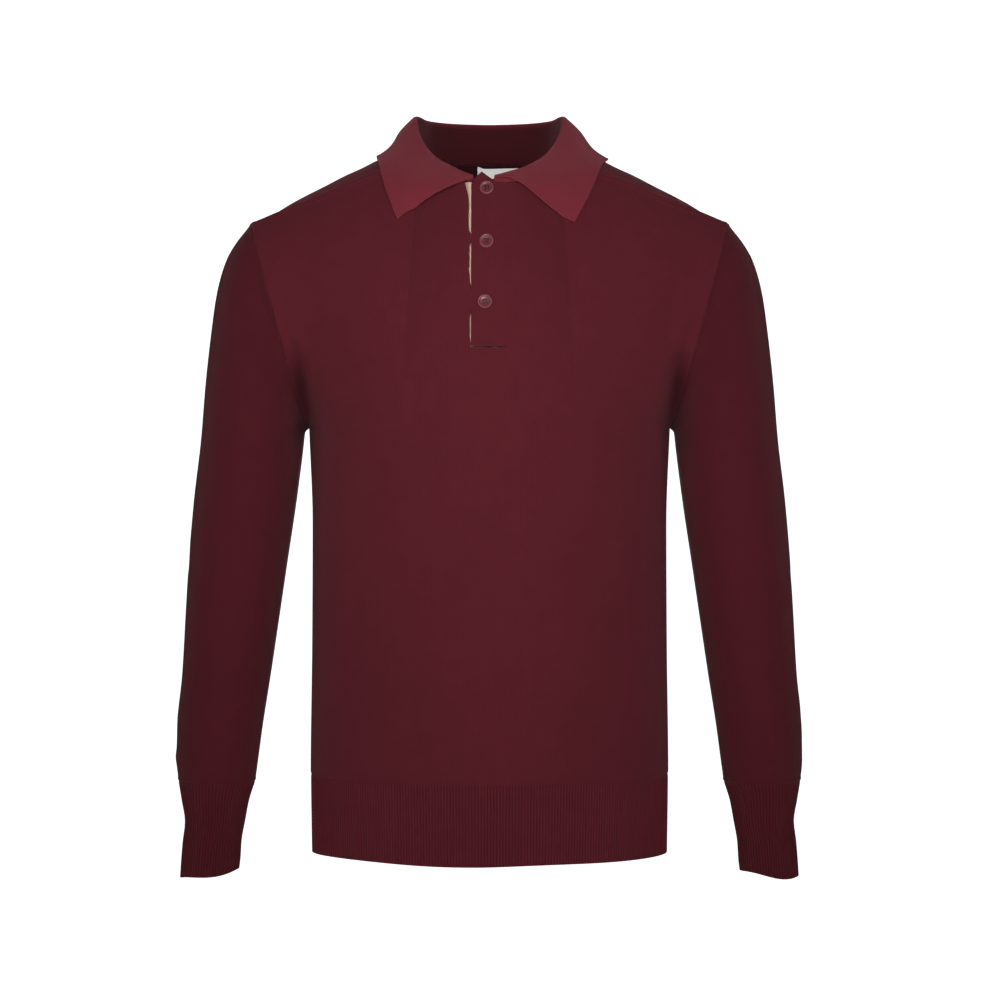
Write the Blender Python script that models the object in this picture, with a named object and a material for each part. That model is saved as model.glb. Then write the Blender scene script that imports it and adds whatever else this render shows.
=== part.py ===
"""Burgundy knitted polo sweater, worn form with no wearer.

Blender 4.5 script. Sizes are in millimetres and become metres when a mesh is made.
+Z is up, the front faces -Y and +X is the viewer's right. The origin is in the middle
of the garment, level with the shoulders where the wearer's body carries them.
"""
import math

import bmesh
import bpy
import numpy as np

MM = 0.001
CLOTH = 2.0                # thickness of the knitted wall
SEAM_GAP = 0.4             # space between two pieces at a seam
SLEEVE_SEAM_GAP = 1.0      # more at the armhole, whose foot is folded tightly

# ---------------------------------------------------------------- driving dimensions
UNDERARM_X = 180.0
UNDERARM_Z = -265.0
RIB_TOP_Z = -610.0
HEM_Z = -689.0
SHOULDER_TIP = (237.5, -4.0, -60.0)
FRONT_NECK_SHARE = 0.36    # share of the half front that lies under the neck
BACK_NECK_SHARE = 0.44     # the same on the back

PLACKET_LEFT = -17.3       # free edge of the buttonhole strip
PLACKET_RIGHT = 16.7       # its sewn edge
PLACKET_BOTTOM_Z = -191.0
SLIVER_WIDTH = 1.3         # strip of the underlap that shows beside the placket
SLIVER_FLARE = 5.0         # how much wider it opens at the neck
FLARE_START_RISE = 0.80    # share of the chest's height at which it begins to open
FLARE_REACH = 0.12         # share of the half front that is drawn aside with it
UNDERLAP_LEFT = -27.0
UNDERLAP_RIGHT = 9.0
BUTTON_RADIUS = 6.7
BUTTON_HEIGHT = 2.6
BUTTON_HOLE_RADIUS = 0.95
BUTTON_HOLE_OFFSET = 1.75
BUTTON_SIDES = 16
BUTTON_PROFILE = (          # radius and height of each corner of half the button
    (0.0, 0.0),
    (BUTTON_RADIUS - 0.9, 0.0),
    (BUTTON_RADIUS, 0.9),
    (BUTTON_RADIUS - 0.4, BUTTON_HEIGHT - 0.3),
    (BUTTON_RADIUS - 1.2, BUTTON_HEIGHT),
    (BUTTON_RADIUS - 2.2, BUTTON_HEIGHT - 0.8),
    (0.0, BUTTON_HEIGHT - 0.9),
)
BUTTON_PLACES = ((-2.0, -36.0), (-2.2, -88.5), (-3.7, -147.5))

COLLAR_SEAM_GAP = 0.7      # space between the collar's foot and the neckline
FOLD_RADIUS = 2.6          # half the space between collar stand and leaf at the fold
LABEL_WIDTH = 43.0
LABEL_HEIGHT = 24.0
LABEL_MIDDLE_X = 7.4
LABEL_TOP_Z = 2.4
LABEL_THICKNESS = 1.0
LABEL_CLEARANCE = 2.0


def table(columns, *rows):
    """A small table with named columns, as a dictionary of arrays."""
    return dict(zip(columns.split(), np.array(rows, float).T))


BODY = table(
    "z      half_width front back  roundness",
    (HEM_Z,      177.5, 116.0, 112.0, 1.65),
    (RIB_TOP_Z,  178.5, 118.0, 114.0, 1.68),
    (-480.0,     177.0, 120.0, 115.0, 1.75),
    (-360.0,     176.5, 123.0, 117.0, 1.80),
    (UNDERARM_Z, UNDERARM_X, 126.0, 118.0, 1.85),
)

SHOULDER_SEAM = table(
    "share  x      y      z",
    (0.0,   69.0, -35.0,  -6.0),
    (0.2,  103.0, -38.0, -13.0),
    (0.4,  136.0, -36.0, -25.0),
    (0.6,  170.0, -30.0, -39.0),
    (0.8,  204.0, -18.0, -50.5),
    (1.0, *SHOULDER_TIP),
)

FRONT_NECKLINE = table(
    "share  x     y      z",
    (0.0,    0.0, -90.0, -30.0),
    (0.085, 19.0, -86.0, -28.5),
    (0.22,  47.0, -64.0, -19.5),
    (FRONT_NECK_SHARE, 69.0, -35.0, -6.0),
)

BACK_NECKLINE = table(
    "share  x     y      z",
    (0.0,    0.0,  68.0,   6.5),
    (0.12,  36.0,  63.0,   7.0),
    (0.24,  66.0,  42.0,   9.0),
    (0.34,  79.0,   8.0,  10.5),
    (BACK_NECK_SHARE, 69.0, -35.0, -6.0),
)

# How each column of the chest leaves the underarm level (lift) and reaches its top edge
# (pull, measured back from the edge), along a cubic curve.
FRONT_CHEST = table(
    "share  lift_x lift_y lift_z pull_x pull_y pull_z",
    (0.0,     0.0,  -5.0,  75.0,   0.0, -22.0, -70.0),
    (0.085,   0.0,  -5.0,  75.0,   0.0, -22.0, -70.0),
    (0.22,    0.0,  -6.0,  75.0,  -1.0, -38.0, -60.0),
    (0.36,    0.0,  -9.0,  75.0,   2.0, -50.0, -50.0),
    (0.60,    1.0, -16.0,  74.0,   0.0, -44.0, -52.0),
    (0.80,    2.0, -28.0,  66.0,  -3.0, -46.0, -52.0),
    (0.92,    3.0, -52.0,  40.0,  -5.0, -56.0, -40.0),
    (1.0,     1.0, -75.0,   3.0,  -4.0, -62.0, -22.0),
)

# The back also has a guide row between the two, level with the shoulder blades.
BACK_CHEST = table(
    "share  lift_x lift_y lift_z mid_x  mid_y  mid_z  pull_x pull_y pull_z",
    (0.0,     0.0,   4.0,  75.0,   0.0, 124.0, -105.0,   0.0,  24.0, -46.0),
    (0.12,    0.0,   4.0,  77.0,  31.0, 123.0, -100.0,   4.0,  26.0, -42.0),
    (0.24,    0.0,   8.0,  80.0,  62.0, 118.0,  -78.0,  14.0,  27.0, -12.0),
    (0.34,    1.0,  11.0,  87.0,  86.0, 114.0,  -42.0,  25.0,  30.0,  -3.0),
    (BACK_NECK_SHARE, 3.0, 15.0, 95.0, 118.0, 108.0, -26.0, 39.0, 48.0, 49.0),
    (0.65,    2.0,  19.0,  85.0, 140.0, 100.0,  -40.0,   2.0,  65.0,  52.0),
    (0.78,    5.0,  29.0,  75.0, 168.0,  84.0,  -62.0,   1.0,  54.0,  45.0),
    (0.87,    2.0,  36.0,  53.0, 190.0,  74.0,  -85.0,   1.0,  43.0,  34.0),
    (0.94,    2.0,  48.0,  25.0, 208.0,  71.0, -120.0,  -1.5,  44.0,  12.0),
    (1.0,     0.8,  58.0,   3.0, 208.0,  72.0, -171.0,  -2.3,  52.0, -16.0),
)

# Rings of the sleeve, from just below the armhole to the cuff. The outer and inner
# points lie on the outline; front and back are the depths from the middle.
SLEEVE = table(
    "outer_x outer_z inner_x inner_z middle_y front back",
    (245.0,  -70.0, 181.5, -266.0,  -1.0, 56.0, 57.0),
    (262.0,  -96.0, 182.5, -267.0,  -1.0, 60.0, 60.0),
    (272.0, -130.0, 183.3, -268.0,  -1.0, 62.5, 62.0),
    (278.0, -172.0, 184.0, -269.0,  -1.0, 63.5, 63.0),
    (283.5, -222.0, 184.6, -271.5,  -1.0, 63.0, 62.0),
    (288.0, -277.0, 186.4, -288.0,  -1.0, 61.0, 61.0),
    (295.0, -337.0, 193.5, -343.0,  -2.0, 58.0, 58.0),
    (300.0, -397.0, 202.0, -400.0,  -3.0, 54.0, 54.0),
    (303.0, -450.0, 209.5, -452.0,  -5.0, 50.0, 50.0),
    (306.0, -510.0, 218.0, -511.0,  -9.0, 46.0, 46.0),
    (310.5, -560.0, 225.5, -561.0, -14.0, 43.0, 43.0),
    (310.5, -592.0, 229.5, -593.0, -18.0, 41.0, 41.0),
    (308.5, -615.0, 232.5, -616.0, -20.0, 38.0, 38.0),
)

CUFF = table(
    "outer_x outer_z inner_x inner_z middle_y front back",
    (308.5, -615.0, 232.5, -616.0, -20.0, 38.0, 38.0),
    (305.0, -635.0, 238.5, -635.0, -21.5, 34.5, 34.5),
    (301.8, -655.0, 242.2, -655.0, -22.5, 31.5, 31.5),
    (304.0, -675.0, 245.7, -675.0, -23.5, 31.0, 31.0),
    (305.5, -694.0, 246.7, -692.0, -24.0, 31.5, 31.5),
    (306.5, -710.0, 248.0, -703.0, -24.0, 32.0, 32.0),
)

# The collar from the centre back (0) round to the centre front (1), on one side. Its
# stand rises from the neckline to the fold, and its leaf falls to the edge. The crown is
# how far the leaf bows out, as a share of its depth; at the sides it sags in a little.
COLLAR = table(
    "share   fold_x fold_y fold_z edge_x edge_y edge_z off_body crown",
    (0.000,    0.0,  62.0,  46.0,   0.0,  86.0,  -1.0, 2.6,  0.05),
    (0.147,   34.0,  57.0,  46.4,  52.0,  79.0,  -1.0, 3.0,  0.04),
    (0.300,   62.0,  38.0,  47.0,  93.0,  50.0,   1.0, 4.5, -0.02),
    (0.445,   74.5,   4.0,  46.5, 112.0,   8.0,   3.5, 6.0, -0.03),
    (0.570,   69.5, -18.0,  28.0, 110.0, -28.0,  -3.0, 6.0, -0.01),
    (0.690,   56.0, -44.0,   4.0, 104.0, -55.0, -25.0, 4.5,  0.02),
    (0.840,   35.0, -69.0, -12.0,  95.0, -76.0, -47.0, 3.0,  0.04),
    (1.000,    5.0, -89.5, -24.0,  87.5, -86.0, -63.0, 2.6,  0.05),
)
TIP_SHIFT_LEFT = (3.0, 5.0)          # its two points are not alike: outward and upward
TIP_SHIFT_RIGHT = (-3.5, 0.0)
FRONT_BOW_LEFT = (5.0, 2.0, 1.0)     # how far the leaf's front edge bows up, and where:
FRONT_BOW_RIGHT = (7.4, 1.0, 3.0)    # near its point on the left, near the neck on the right
COLLAR_END_LEFT = (-18.0, -28.0)     # where its two ends stop at the centre front
COLLAR_END_RIGHT = (5.0, -27.0)

WINE = (0.095, 0.014, 0.021)
WINE_DARK = (0.055, 0.008, 0.013)
WINE_LIGHT = (0.155, 0.022, 0.032)
CREAM = (0.58, 0.37, 0.33)
WHITE = (0.80, 0.80, 0.79)


# ---------------------------------------------------------------- curves and surfaces
def smooth(xs, ys, at):
    """Cubic curve through (xs, ys) that never overshoots its points, read at `at`."""
    step = np.diff(xs)
    slope = np.diff(ys) / step
    tangent = np.empty(len(xs))
    tangent[0], tangent[-1] = slope[0], slope[-1]
    same_way = slope[:-1] * slope[1:] > 0
    safe = np.where(same_way, slope[:-1] + slope[1:], 1.0)
    tangent[1:-1] = np.where(same_way, 2 * slope[:-1] * slope[1:] / safe, 0.0)
    at = np.clip(at, xs[0], xs[-1])
    k = np.clip(np.searchsorted(xs, at, side="right") - 1, 0, len(step) - 1)
    u = (at - xs[k]) / step[k]
    rise = ys[k + 1] - ys[k]
    start, end = tangent[k] * step[k], tangent[k + 1] * step[k]
    return (ys[k] + u * start + u * u * (3 * rise - 2 * start - end)
            + u ** 3 * (start + end - 2 * rise))


def read(rows, names, key, at):
    """The named columns of a table, each read smoothly at `at`, as points."""
    return np.stack([smooth(rows[key], rows[name], at) for name in names.split()], -1)


def body_section(z, share, side):
    """A point on the body below the arms: side -1 is the front and +1 the back."""
    order = np.argsort(BODY["z"])
    rows = {name: column[order] for name, column in BODY.items()}
    half_width, roundness = read(rows, "half_width roundness", "z", z)
    depth = read(rows, "front" if side < 0 else "back", "z", z)[0]
    angle = np.linspace(0, math.pi / 2, 400)
    across = half_width * np.sin(angle) ** (2 / roundness)
    out = depth * np.cos(angle) ** (2 / roundness)
    length = np.concatenate([[0], np.cumsum(np.hypot(np.diff(across), np.diff(out)))])
    wanted = np.abs(share) * length[-1]
    x = np.interp(wanted, length, across) * np.sign(share)
    y = side * np.interp(wanted, length, out)
    return np.stack([x, y, np.full_like(x, z)], -1)


def top_edge(share, neckline, neck_share):
    """The top of a panel: its neckline, then the forward shoulder seam."""
    a = np.abs(share)
    along_seam = (a - neck_share) / (1 - neck_share)
    neck = read(neckline, "x y z", "share", a)
    seam = read(SHOULDER_SEAM, "x y z", "share", along_seam)
    point = np.where((a < neck_share)[:, None], neck, seam)
    point[:, 0] *= np.where(share < 0, -1.0, 1.0)
    return point


def bezier(guides, along):
    """The point `along` a curve drawn by its guide points, or along many such curves."""
    while len(guides) > 1:
        guides = [start * (1 - along) + end * along for start, end in zip(guides, guides[1:])]
    return guides[0]


def chest(share, rise, side):
    """A row of the chest: rise 0 is the underarm level and 1 the top edge."""
    mirror = np.ones((len(share), 3))
    mirror[:, 0] = np.where(share < 0, -1.0, 1.0)
    if side < 0:
        neckline, neck_share, rows = FRONT_NECKLINE, FRONT_NECK_SHARE, FRONT_CHEST
    else:
        neckline, neck_share, rows = BACK_NECKLINE, BACK_NECK_SHARE, BACK_CHEST
    low = body_section(UNDERARM_Z, share, side)
    top = top_edge(share, neckline, neck_share)
    reach = np.abs(share)
    guides = [low, low + mirror * read(rows, "lift_x lift_y lift_z", "share", reach)]
    if "mid_x" in rows:
        guides.append(mirror * read(rows, "mid_x mid_y mid_z", "share", reach))
    guides += [top + mirror * read(rows, "pull_x pull_y pull_z", "share", reach), top]
    return bezier(guides, rise)


def chest_form(side):
    """Closely spaced points of the front or back chest, with their outward directions."""
    shares = np.linspace(-0.72, 0.72, 145)
    grid = np.array([chest(shares, rise, side) for rise in np.linspace(0, 1, 111)])
    if side > 0:
        grid = grid[:, ::-1]
    return grid.reshape(-1, 3), grid_normals(grid, False).reshape(-1, 3)


def front_frame(x, z):
    """The point of the front seen at (x, z) from the front, and the direction out of it."""
    points, normals = FRONT_FORM
    nearest = np.argmin((points[:, 0] - x) ** 2 + (points[:, 2] - z) ** 2)
    base, out = points[nearest], normals[nearest]
    y = base[1] - (out[0] * (x - base[0]) + out[2] * (z - base[2])) / out[1]
    return np.array([x, y, z]), out


def on_front(x, z, lift):
    """The point `lift` above the front at (x, z)."""
    point, out = front_frame(x, z)
    return point + out * lift


def off_body(point, clearance, lying):
    """Moves a point out to `clearance` from the body; a lying point also comes in to it."""
    points = np.concatenate([FRONT_FORM[0], BACK_FORM[0]])
    normals = np.concatenate([FRONT_FORM[1], BACK_FORM[1]])
    nearest = np.argmin(((points - point) ** 2).sum(1))
    apart, out = point - points[nearest], normals[nearest]
    height = apart @ out
    beside = np.linalg.norm(apart - out * height)
    if beside > BESIDE_LIMIT:
        return point
    short = clearance - height
    if short > PUSH_LIMIT:
        return point
    return point + out * (short if short > 0 else short * lying)


def rings(rows, angles, side):
    """Rings of a sleeve or cuff, from its table: angle 0 is the outer edge and pi the inner."""
    grid = []
    for k in range(len(rows["outer_x"])):
        row = {name: column[k] for name, column in rows.items()}
        turn_out = (1 + np.cos(angles)) / 2
        x = row["inner_x"] + (row["outer_x"] - row["inner_x"]) * turn_out
        z = row["inner_z"] + (row["outer_z"] - row["inner_z"]) * turn_out
        forward = np.sin(angles)
        y = row["middle_y"] - forward * np.where(forward > 0, row["front"], row["back"])
        grid.append(np.stack([side * x, y, z], -1))
    return np.array(grid)


# ---------------------------------------------------------------- walls of cloth
def grid_normals(grid, closed):
    """Outward directions of a grid of points whose rows go up and columns to the right."""
    if closed:
        ring = grid[:, :-1]
        across = np.roll(ring, -1, axis=1) - np.roll(ring, 1, axis=1)
        across = np.concatenate([across, across[:, :1]], axis=1)
    else:
        across = np.gradient(grid, axis=1)
    up = np.gradient(grid, axis=0)
    out = np.cross(across, up)
    return out / np.maximum(np.linalg.norm(out, axis=2, keepdims=True), 1e-9)


def share_normals(pieces):
    """Pieces that meet at a seam turn their walls the same way there."""
    meeting = {}
    for piece in pieces:
        rows, columns = piece["outer"].shape[:2]
        for i in range(rows):
            for j in range(columns):
                if i in (0, rows - 1) or j in (0, columns - 1):
                    key = tuple(np.round(piece["outer"][i, j], 2))
                    meeting.setdefault(key, []).append((piece, i, j))
    for places in meeting.values():
        total = sum(piece["normal"][i, j] for piece, i, j in places)
        if np.linalg.norm(total) > 0.2:
            for piece, i, j in places:
                piece["normal"][i, j] = total / np.linalg.norm(total)


def pull_apart(points, normal, closed, gap):
    """Moves that take half a seam gap off every border, square to the seam and the wall."""
    moves = np.zeros_like(points)
    borders = [(0, 1), (-1, -2)]
    places = [((row, slice(None)), (beside, slice(None))) for row, beside in borders]
    if not closed:
        places += [((slice(None), column), (slice(None), beside)) for column, beside in borders]
    for edge, beside in places:
        way = np.cross(np.gradient(points[edge], axis=0), normal[edge])
        way *= np.sign(((points[beside] - points[edge]) * way).sum(1, keepdims=True))
        moves[edge] += way / np.linalg.norm(way, axis=1, keepdims=True) * gap / 2
    return moves


def sheet(outer, closed=False, thickness=CLOTH, gap=SEAM_GAP):
    """A piece of cloth, known by its outer face."""
    return {"outer": outer, "normal": grid_normals(outer, closed), "closed": closed,
            "thickness": thickness, "gap": gap}


def wall_mesh(outer, inner, closed, missing=()):
    """One closed body between two grids of points. `missing` names cells left open."""
    rows, columns = outer.shape[:2]
    mesh = bmesh.new()
    bmesh.ops.create_grid(mesh, x_segments=columns - 1, y_segments=rows - 1, size=1.0)
    across = mesh.verts.layers.float.new("across")
    upward = mesh.verts.layers.float.new("upward")
    for vert in mesh.verts:
        vert[across] = round((vert.co.x + 1) / 2 * (columns - 1))
        vert[upward] = round((vert.co.y + 1) / 2 * (rows - 1))
    gone = []
    for face in mesh.faces:
        cell = (min(int(v[upward]) for v in face.verts), min(int(v[across]) for v in face.verts))
        if cell in missing:
            gone.append(face)
    bmesh.ops.delete(mesh, geom=gone, context="FACES")
    for vert in mesh.verts:
        vert.co = outer[int(vert[upward]), int(vert[across])] * MM
    if closed:
        bmesh.ops.remove_doubles(mesh, verts=mesh.verts[:], dist=1e-7)
    made = bmesh.ops.extrude_face_region(mesh, geom=mesh.faces[:], use_keep_orig=True)
    for item in made["geom"]:
        if isinstance(item, bmesh.types.BMVert):
            item.co = inner[int(item[upward]), int(item[across])] * MM
    bmesh.ops.triangulate(mesh, faces=mesh.faces[:], quad_method="SHORT_EDGE")
    bmesh.ops.recalc_face_normals(mesh, faces=mesh.faces[:])
    return mesh


def add_object(name, mesh, material):
    """A named object from a finished bmesh."""
    data = bpy.data.meshes.new(name)
    mesh.to_mesh(data)
    mesh.free()
    data.shade_smooth()
    data.set_sharp_from_angle(angle=math.radians(50))
    data.materials.append(material)
    thing = bpy.data.objects.new(name, data)
    bpy.context.collection.objects.link(thing)
    return thing


def add_wall(name, piece, material, missing=()):
    outer = piece["outer"]
    inner = outer - piece["normal"] * piece["thickness"]
    if piece["gap"]:
        moves = pull_apart(outer, piece["normal"], piece["closed"], piece["gap"])
        outer, inner = outer + moves, inner + moves
    return add_object(name, wall_mesh(outer, inner, piece["closed"], missing), material)


def make_material(name, colour, roughness):
    material = bpy.data.materials.new(name)
    material.use_nodes = True
    shader = material.node_tree.nodes["Principled BSDF"]
    shader.inputs["Base Color"].default_value = (*colour, 1.0)
    shader.inputs["Roughness"].default_value = roughness
    shader.inputs["Metallic"].default_value = 0.0
    return material


# ---------------------------------------------------------------- stations of the grids
SLOT_LEFT = PLACKET_LEFT - SLIVER_WIDTH
SLOT_RIGHT = PLACKET_RIGHT + SEAM_GAP
SEAM_STEPS = 6             # columns along each shoulder
FRONT_NECK_STEPS = 5       # columns along the front neckline, on each side of the placket
BACK_NECK_STEPS = 6        # columns along each half of the back neckline
CHEST_STEPS_LOW = 3        # rows from the underarm level to the foot of the placket
CHEST_STEPS_HIGH = 8       # rows from there to the top
BODY_STEPS = 4             # rows from the rib to the underarm level
RIB_STEPS = 2


def station_of_x(x):
    """The share of the half front at which the underarm row has this x."""
    shares = np.linspace(0, 0.4, 81)
    xs = body_section(UNDERARM_Z, shares, -1)[:, 0]
    return math.copysign(np.interp(abs(x), xs, shares), x)


def placket_rise():
    """How far up the chest the foot of the placket is."""
    rises = np.linspace(0, 1, 201)
    heights = [chest(np.array([0.0]), rise, -1)[0, 2] for rise in rises]
    return float(np.interp(PLACKET_BOTTOM_Z - SEAM_GAP, heights, rises))


def shoulder_stations(neck_share):
    along = np.linspace(0, 1, SEAM_STEPS + 1)
    return neck_share + along * (1 - neck_share)


def front_stations():
    outside = shoulder_stations(FRONT_NECK_SHARE)
    left = np.linspace(FRONT_NECK_SHARE, -station_of_x(SLOT_LEFT), FRONT_NECK_STEPS + 1)[1:]
    right = np.linspace(station_of_x(SLOT_RIGHT), FRONT_NECK_SHARE, FRONT_NECK_STEPS + 1)[:-1]
    return np.concatenate([-outside[::-1], -left, [0.0], right, outside])


def back_stations():
    outside = shoulder_stations(BACK_NECK_SHARE)
    middle = np.linspace(-BACK_NECK_SHARE, BACK_NECK_SHARE, 2 * BACK_NECK_STEPS + 1)[1:-1]
    return np.concatenate([-outside[::-1], middle, outside])


def chest_rises():
    foot = placket_rise()
    return np.concatenate([np.linspace(0, foot, CHEST_STEPS_LOW + 1),
                           np.linspace(foot, 1, CHEST_STEPS_HIGH + 1)[1:]])


def slot_flare(share, rise):
    """The left edge of the placket opening is drawn aside towards the neck."""
    slot_share = station_of_x(SLOT_LEFT)
    near = np.clip(1 - np.abs(share - slot_share) / FLARE_REACH, 0, 1)
    near = np.where(share > slot_share + 0.01, 0, near)
    high = np.clip((rise - FLARE_START_RISE) / (1 - FLARE_START_RISE), 0, 1)
    return -SLIVER_FLARE * near * high ** 1.5


def panel_grid(shares, side):
    """The whole panel above the rib, row by row from the rib up."""
    levels = np.linspace(RIB_TOP_Z, UNDERARM_Z, BODY_STEPS + 1)[:-1]
    rows = [body_section(z, shares, side) for z in levels]
    for rise in chest_rises():
        row = chest(shares, rise, side)
        if side < 0:
            for edge_x in (SLOT_LEFT, SLOT_RIGHT):
                row[np.isclose(shares, station_of_x(edge_x)), 0] = edge_x
            row[:, 0] += slot_flare(shares, rise)
        rows.append(row)
    grid = np.array(rows)
    return grid if side < 0 else grid[:, ::-1]


def rib_grid(shares, side):
    grid = np.array([body_section(z, shares, side)
                     for z in np.linspace(HEM_Z, RIB_TOP_Z, RIB_STEPS + 1)])
    return grid if side < 0 else grid[:, ::-1]


def sleeve_grid(side):
    """The sleeve from its cuff up to the armhole, closed round the arm."""
    rises = chest_rises()
    one = np.array([float(side)])
    armhole_front = [chest(one, rise, -1)[0] for rise in rises]
    armhole_back = [chest(one, rise, 1)[0] for rise in rises]
    around = np.concatenate([math.pi * (1 - rises[::-1]), math.pi * (1 + rises[1:])])
    armhole = np.array(armhole_front[::-1] + armhole_back[1:])
    grid = np.concatenate([armhole[None], rings(SLEEVE, around, side)])[::-1]
    grid[:, -1] = grid[:, 0]
    return grid[:, ::-1] if side > 0 else grid


def cuff_grid(side):
    rises = chest_rises()
    around = np.concatenate([math.pi * (1 - rises[::-1]), math.pi * (1 + rises[1:])])
    grid = rings(CUFF, around, side)[::-1]
    grid[:, -1] = grid[:, 0]
    return grid[:, ::-1] if side > 0 else grid


# ---------------------------------------------------------------- collar
STAND_STEPS = 3            # rows up the stand
TURN_STEPS = 3             # rows round the fold
LEAF_STEPS = 4             # rows down the leaf
FOLD_TURN = math.pi * 0.9  # how far round the cloth turns at the fold
FOLD_EASE = 0.35           # how much tighter the fold is at the centre front
LEAF_FREE_SHARE = 0.6      # up to here the upper half of the leaf hangs clear of the body
NEAR_END_SHARE = 0.84
PUSH_LIMIT = 12.0          # the furthest a point of the leaf is moved off the body
BESIDE_LIMIT = 8.0         # a point further than this past the neckline is not over the body


def neck_path(side):
    """The corners of the neckline from the centre back to the centre front, on one side."""
    back = [s for s in back_stations() if -1e-9 <= s <= BACK_NECK_SHARE + 1e-9]
    front = [s for s in front_stations() * side if 0 < s < FRONT_NECK_SHARE - 1e-9]
    path = [top_edge(np.array([s * side]), BACK_NECKLINE, BACK_NECK_SHARE)[0] for s in back]
    for s in sorted(front, reverse=True):
        share = np.array([s * side])
        point = top_edge(share, FRONT_NECKLINE, FRONT_NECK_SHARE)[0]
        point[0] += slot_flare(share, 1.0)[0]
        path.append(point)
    end_x, end_z = COLLAR_END_RIGHT if side > 0 else COLLAR_END_LEFT
    path.append(on_front(end_x, end_z, 0.0))
    return np.array(path)


def collar_column(seam, out, share, side, end_x):
    """One section of the collar, from its seam up over the fold and down to its edge."""
    at = np.array([share])
    fold, edge = (read(COLLAR, f"{part}_x {part}_y {part}_z", "share", at)[0]
                  for part in ("fold", "edge"))
    clearance, bulge = read(COLLAR, "off_body crown", "share", share)
    near_end = max(0.0, (share - NEAR_END_SHARE) / (1 - NEAR_END_SHARE))
    fold[0] += (abs(end_x) - COLLAR["fold_x"][-1]) * near_end
    tip_out, tip_up = TIP_SHIFT_RIGHT if side > 0 else TIP_SHIFT_LEFT
    bow, towards_tip, towards_neck = FRONT_BOW_RIGHT if side > 0 else FRONT_BOW_LEFT
    peak = towards_tip / (towards_tip + towards_neck)
    edge += np.array([tip_out, 0, tip_up]) * near_end
    fold[0] *= side
    edge[0] *= side
    edge = off_body(edge, clearance, 1.0)
    radius = FOLD_RADIUS * (1 - FOLD_EASE * near_end)
    stand_top = fold - np.array([0, 0, radius])
    foot = seam + np.array([0, 0, COLLAR_SEAM_GAP])
    points = [foot + (stand_top - foot) * k / STAND_STEPS for k in range(STAND_STEPS)]
    for k in range(TURN_STEPS + 1):
        angle = FOLD_TURN * k / TURN_STEPS
        points.append(stand_top + out * radius * (1 - math.cos(angle))
                      + np.array([0, 0, radius * math.sin(angle)]))
    start = points[-1]
    for k in range(1, LEAF_STEPS + 1):
        u = k / LEAF_STEPS
        crown = math.sin(math.pi * u) * bulge * np.linalg.norm(edge - start)
        point = start + (edge - start) * u
        point += (out + np.array([0, 0, 1.0])) / math.sqrt(2) * crown
        swell = (u / peak) ** towards_tip * ((1 - u) / (1 - peak)) ** towards_neck
        point[2] += bow * swell * near_end ** 2
        over_body = u >= 0.5 or share > LEAF_FREE_SHARE
        points.append(off_body(point, clearance, near_end * u) if over_body else point)
    return np.array(points)


def collar_grid():
    """The middle of the collar's cloth, from the viewer's left end round to the right end."""
    halves = []
    for side in (-1, 1):
        path = neck_path(side)
        lengths = np.concatenate([[0], np.cumsum(np.linalg.norm(np.diff(path, axis=0), axis=1))])
        along = np.gradient(path, axis=0)
        outward = side * np.stack([-along[:, 1], along[:, 0], np.zeros(len(path))], -1)
        outward /= np.linalg.norm(outward, axis=1, keepdims=True)
        halves.append([collar_column(seam, out, share, side, path[-1, 0])
                       for seam, out, share in zip(path, outward, lengths / lengths[-1])])
    left, right = halves
    return np.array(left[:0:-1] + right).transpose(1, 0, 2)


def add_collar(material):
    grid = collar_grid()
    normal = grid_normals(grid, False)
    normal[0, :, 2] = 0
    normal[0] /= np.linalg.norm(normal[0], axis=1, keepdims=True)
    half = normal * CLOTH / 2
    add_object("collar", wall_mesh(grid + half, grid - half, False), material)


# ---------------------------------------------------------------- placket and trims
STRIP_TOP = table(          # the free corner stands up beside the collar
    "x     z",
    (PLACKET_LEFT,  -31.0),
    (-7.4,  -19.0),
    (4.7,   -28.4),
    (PLACKET_RIGHT, -29.8),
)
UNDERLAP_TOP_Z = -32.0
OVERLAP_LIFT = 0.6
OVERLAP_THICKNESS = 2.0
UNDERLAP_SINK = CLOTH + 2 * SEAM_GAP
UNDERLAP_BELOW = 6.0        # how far it runs on under the front below the placket
UNDERLAP_THICKNESS = 1.2
UNDERLAP_COLUMNS = 4
STRIP_STEPS = 9             # rows up each strip


def strip_grid(columns, tops, bottoms, lift):
    """A strip that lies along the front, `lift` above it or below it."""
    grid = []
    for i in range(STRIP_STEPS + 1):
        heights = np.array(bottoms) + (np.array(tops) - bottoms) * i / STRIP_STEPS
        grid.append([on_front(x, z, lift) for x, z in zip(columns, heights)])
    return np.array(grid)


def add_overlap(material):
    shares = np.array([station_of_x(x) for x in STRIP_TOP["x"]])
    foot = chest(shares, placket_rise(), -1)[:, 2] + 2 * SEAM_GAP
    grid = strip_grid(STRIP_TOP["x"], STRIP_TOP["z"], foot, OVERLAP_LIFT)
    add_wall("placket_overlap", sheet(grid, thickness=OVERLAP_THICKNESS, gap=0), material)


def add_underlap(material):
    columns = np.linspace(UNDERLAP_LEFT, UNDERLAP_RIGHT, UNDERLAP_COLUMNS)
    tops = np.full(UNDERLAP_COLUMNS, UNDERLAP_TOP_Z)
    bottoms = np.full(UNDERLAP_COLUMNS, PLACKET_BOTTOM_Z - UNDERLAP_BELOW)
    grid = strip_grid(columns, tops, bottoms, -UNDERLAP_SINK)
    add_wall("placket_underlap", sheet(grid, thickness=UNDERLAP_THICKNESS, gap=0), material)


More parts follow.
